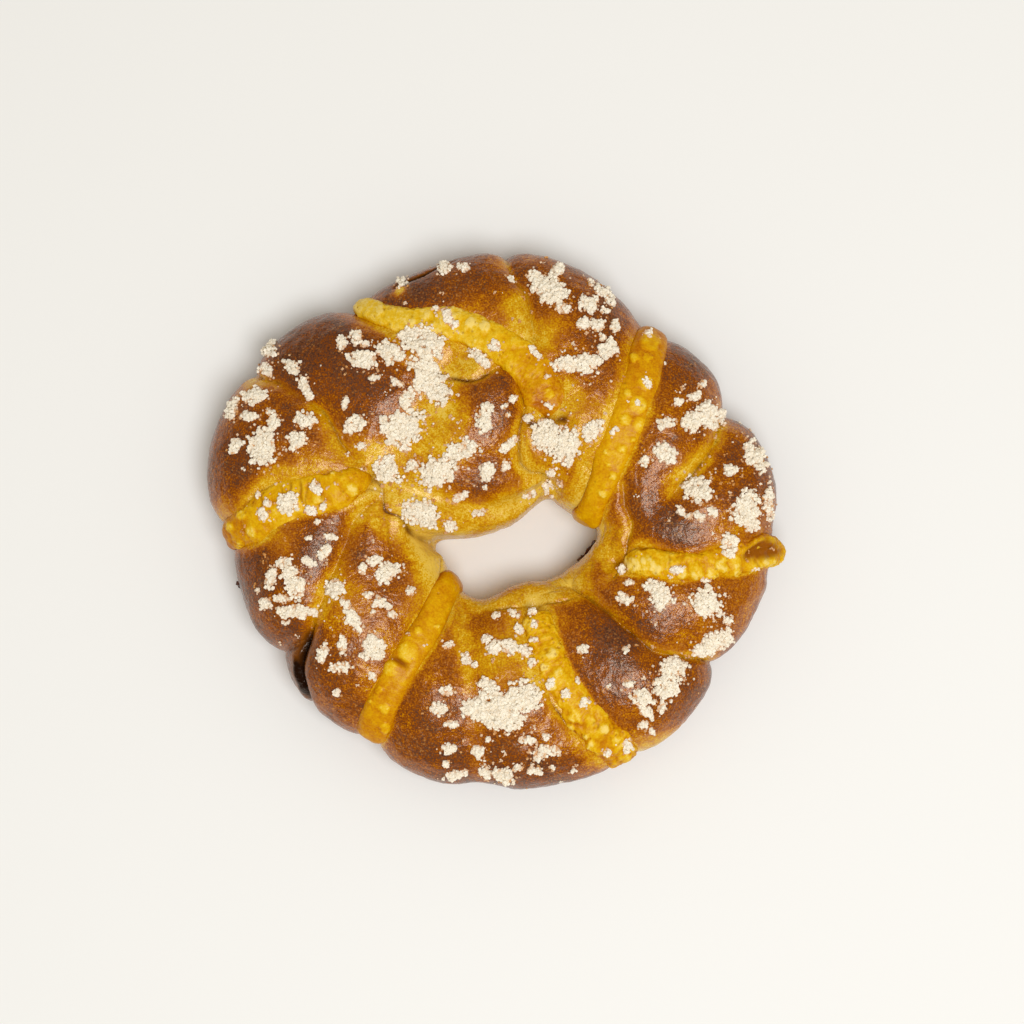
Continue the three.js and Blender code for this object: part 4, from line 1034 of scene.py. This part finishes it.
def heap(random, x, y, length, width, angle=0):
    """Centres, sizes and toasting of the grains of one ragged patch and of those strewn round it."""
    half = np.array([length, width]) / 2
    counts = np.ceil(half * PATCH_SPREAD / GRAIN_STEP).astype(int)
    a, b = (g.ravel() for g in np.meshgrid(*(np.arange(-n, n + 1) * GRAIN_STEP for n in counts)))
    a = a + random.uniform(-GRAIN_JITTER, GRAIN_JITTER, a.shape)
    b = b + random.uniform(-GRAIN_JITTER, GRAIN_JITTER, b.shape)
    spread = (a / half[0]) ** 2 + (b / half[1]) ** 2
    pattern = np.stack([a + x, b + y, np.full(a.shape, angle)], 1)
    fullness = PATCH_FULLNESS + 0.025 * max(0, width - 8) - spread + PATCH_RAGGEDNESS * fractal(pattern, 4)
    fullness += PATCH_RAGGEDNESS * fractal(pattern, 1.4)
    kept = (fullness > PATCH_EDGE) | (spread < PATCH_CORE)
    a, b, fullness = a[kept], b[kept], fullness[kept]
    height = min(PATCH_HEIGHT, 0.8 + 0.28 * width)
    top = height * (fullness - 0.25).clip(0, 1) ** 0.6 * (0.85 + 0.35 * fractal(pattern[kept], 2.5))
    levels = np.ceil((top / GRAIN_STEP).clip(1, 6)).astype(int)
    which = np.repeat(np.arange(len(a)), levels)
    level = np.arange(len(which)) - np.repeat(np.cumsum(levels) - levels, levels)
    up = level * GRAIN_STEP + 0.25
    size = random.uniform(0.7, 1.3, len(which))
    toast = np.where(level == 0, random.uniform(0, 0.9, len(which)), 0) * (fullness[which] < 0.55)
    stray_count = int(length * width * STRAYS_PER_AREA) + 2
    away = 1 + random.exponential(0.3, stray_count)
    turn = random.uniform(0, 2 * np.pi, stray_count)
    a = a[which] + random.uniform(-PILE_JITTER, PILE_JITTER, len(which))
    b = b[which] + random.uniform(-PILE_JITTER, PILE_JITTER, len(which))
    a = np.concatenate([a, away * half[0] * np.cos(turn)])
    b = np.concatenate([b, away * half[1] * np.sin(turn)])
    up = np.concatenate([up, np.full(stray_count, 0.15)])
    size = np.concatenate([size, random.uniform(0.4, 1, stray_count)])
    toast = np.concatenate([toast, random.uniform(0.2, 1, stray_count)])
    cos, sin = math.cos(math.radians(angle)), math.sin(math.radians(angle))
    right = (a * cos - b * sin) / MM_PER_PIXEL
    up_photo = (a * sin + b * cos) / MM_PER_PIXEL
    degrees, over = in_photo(x + right, y - up_photo)
    points, normals = top_point(degrees, over)
    return degrees, points + normals * up[:, None], size, toast


def dusting(random):
    """Single grains and tiny crumbs, strewn mostly about the clumps."""
    clump = np.array(CLUMPS)[random.integers(0, len(CLUMPS), DUST_CRUMBS)]
    degrees = clump[:, 0] + random.normal(0, DUST_SPREAD[0], DUST_CRUMBS)
    over = clump[:, 1] + random.normal(0, DUST_SPREAD[1], DUST_CRUMBS)
    grains_each = random.integers(1, MOST_GRAINS + 1, DUST_CRUMBS)
    which = np.repeat(np.arange(DUST_CRUMBS), grains_each)
    points, normals = top_point(degrees, over.clip(0.3, 0.97))
    jitter = random.normal(0, CRUMB_SPREAD, (len(which), 3))
    jitter -= (jitter * normals[which]).sum(1)[:, None] * normals[which]
    centres = points[which] + jitter + 0.15 * normals[which]
    size = random.uniform(0.35, 0.9, len(which))
    toast = np.repeat(random.uniform(0, 1.3, DUST_CRUMBS).clip(0, 1), grains_each)
    return degrees[which] % 360, centres, size, toast


def make_sugar(material):
    """Sugar in pieces, by sixths of the ring: every patch and strewn grain."""
    random = np.random.default_rng(SEED)
    parts = [heap(random, *patch) for patch in PATCHES]
    parts.append(dusting(random))
    degrees, centres, size, toast = (np.concatenate(values) for values in zip(*parts))
    pieces = []
    for i in range(SUGAR_PIECES):
        here = degrees * SUGAR_PIECES // 360 == i
        points, faces = grains(random, centres[here], size[here])
        toasted = np.repeat(toast[here], len(BLOCK))
        piece = add_mesh(f"sugar_{i + 1}", points, faces, material, {"toast": toasted}, smooth=False)
        nodes = [
            f"sugar_clump_{n:02d}" for n, (middle, _) in enumerate(CLUMPS, 1)
            if middle * SUGAR_PIECES // 360 == i
        ]
        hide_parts(*nodes)
        pieces.append(piece)
    return pieces


def make_burnt_crumbs():
    """Dark crumbs that baked fast at the dough's foot, right of the hole and at one place on the left."""
    look = Look("burnt_crumbs")
    burnt = look.colours(look.noise(600), (0.35, 46, 20, 14), (0.65, 104, 52, 26))
    material = look.finish({"Base Color": burnt, "Roughness": 0.45})
    random = np.random.default_rng(SEED)
    degrees = np.append(random.uniform(350, 367, BURNT_BY_HOLE), random.normal(186.5, 0.5, BURNT_AT_LEFT))
    over = np.append(random.uniform(-0.26, -0.08, BURNT_BY_HOLE), random.uniform(1.02, 1.1, BURNT_AT_LEFT))
    points, normals, *_ = crust(degrees, over)
    points, faces = grains(random, points + 0.6 * normals, random.uniform(0.8, 2.2, len(points)))
    piece = add_mesh("burnt_crumbs", points, faces, material, smooth=False)
    return piece


def make_floor():
    """A plain pale floor under the loaf."""
    material = Look("pale_floor").finish({"Base Color": from_screen(240, 239, 237), "Roughness": 0.9})
    corners = [(x * FLOOR_HALF, y * FLOOR_HALF, 0) for x, y in ((-1, -1), (1, -1), (1, 1), (-1, 1))]
    floor = add_mesh("floor", corners, [(0, 1, 2, 3)], material)


def aim(thing, target):
    """Turns a camera or light to face a point."""
    thing.rotation_euler = (Vector(target) - thing.location).to_track_quat("-Z", "Y").to_euler()


def make_lights():
    """One large soft light, high at the lower right, and a dim even surround."""
    light = bpy.data.lights.new("soft_key", "AREA")
    light.shape = "DISK"
    light.size = LIGHT_SIZE
    light.energy = LIGHT_POWER
    light.color = LIGHT_COLOUR
    key = bpy.data.objects.new("soft_key", light)
    key.location = LIGHT_PLACE
    aim(key, LIGHT_AIM)
    bpy.context.scene.collection.objects.link(key)
    scene = bpy.context.scene
    world = bpy.data.worlds.new("surround")
    scene.world = world
    world.use_nodes = True
    background = world.node_tree.nodes["Background"]
    background.inputs["Color"].default_value = SURROUND_COLOUR
    background.inputs["Strength"].default_value = SURROUND_STRENGTH
    world.cycles_visibility.glossy = False
    scene.view_settings.view_transform = "Standard"


def make_camera():
    """The camera at the photograph's viewing angle, framing the loaf as the photograph does."""
    camera = bpy.data.cameras.new("camera")
    camera.sensor_width = SENSOR_WIDTH
    camera.lens = camera.sensor_width * CAMERA_DISTANCE / (PHOTO_WIDTH * MM_PER_PIXEL)
    camera.clip_end = FARTHEST_SEEN
    eye = bpy.data.objects.new("camera", camera)
    eye.location = Vector(CAMERA_EYE) * MM
    aim(eye, Vector(CAMERA_TARGET) * MM)
    bpy.context.scene.collection.objects.link(eye)
    bpy.context.scene.camera = eye


make_camera()
make_lights()
make_floor()
crust_finish = crust_material()
custard_finish = custard_material()
pieces = [make_loaf(crust_finish)]
skin_random = np.random.default_rng(SEED)
pieces += [make_strip(name, rows, custard_finish, skin_random) for name, rows in STRIPS.items()]
pieces += make_sugar(sugar_material())
pieces.append(make_burnt_crumbs())
for piece in pieces:
    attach(piece, "root")
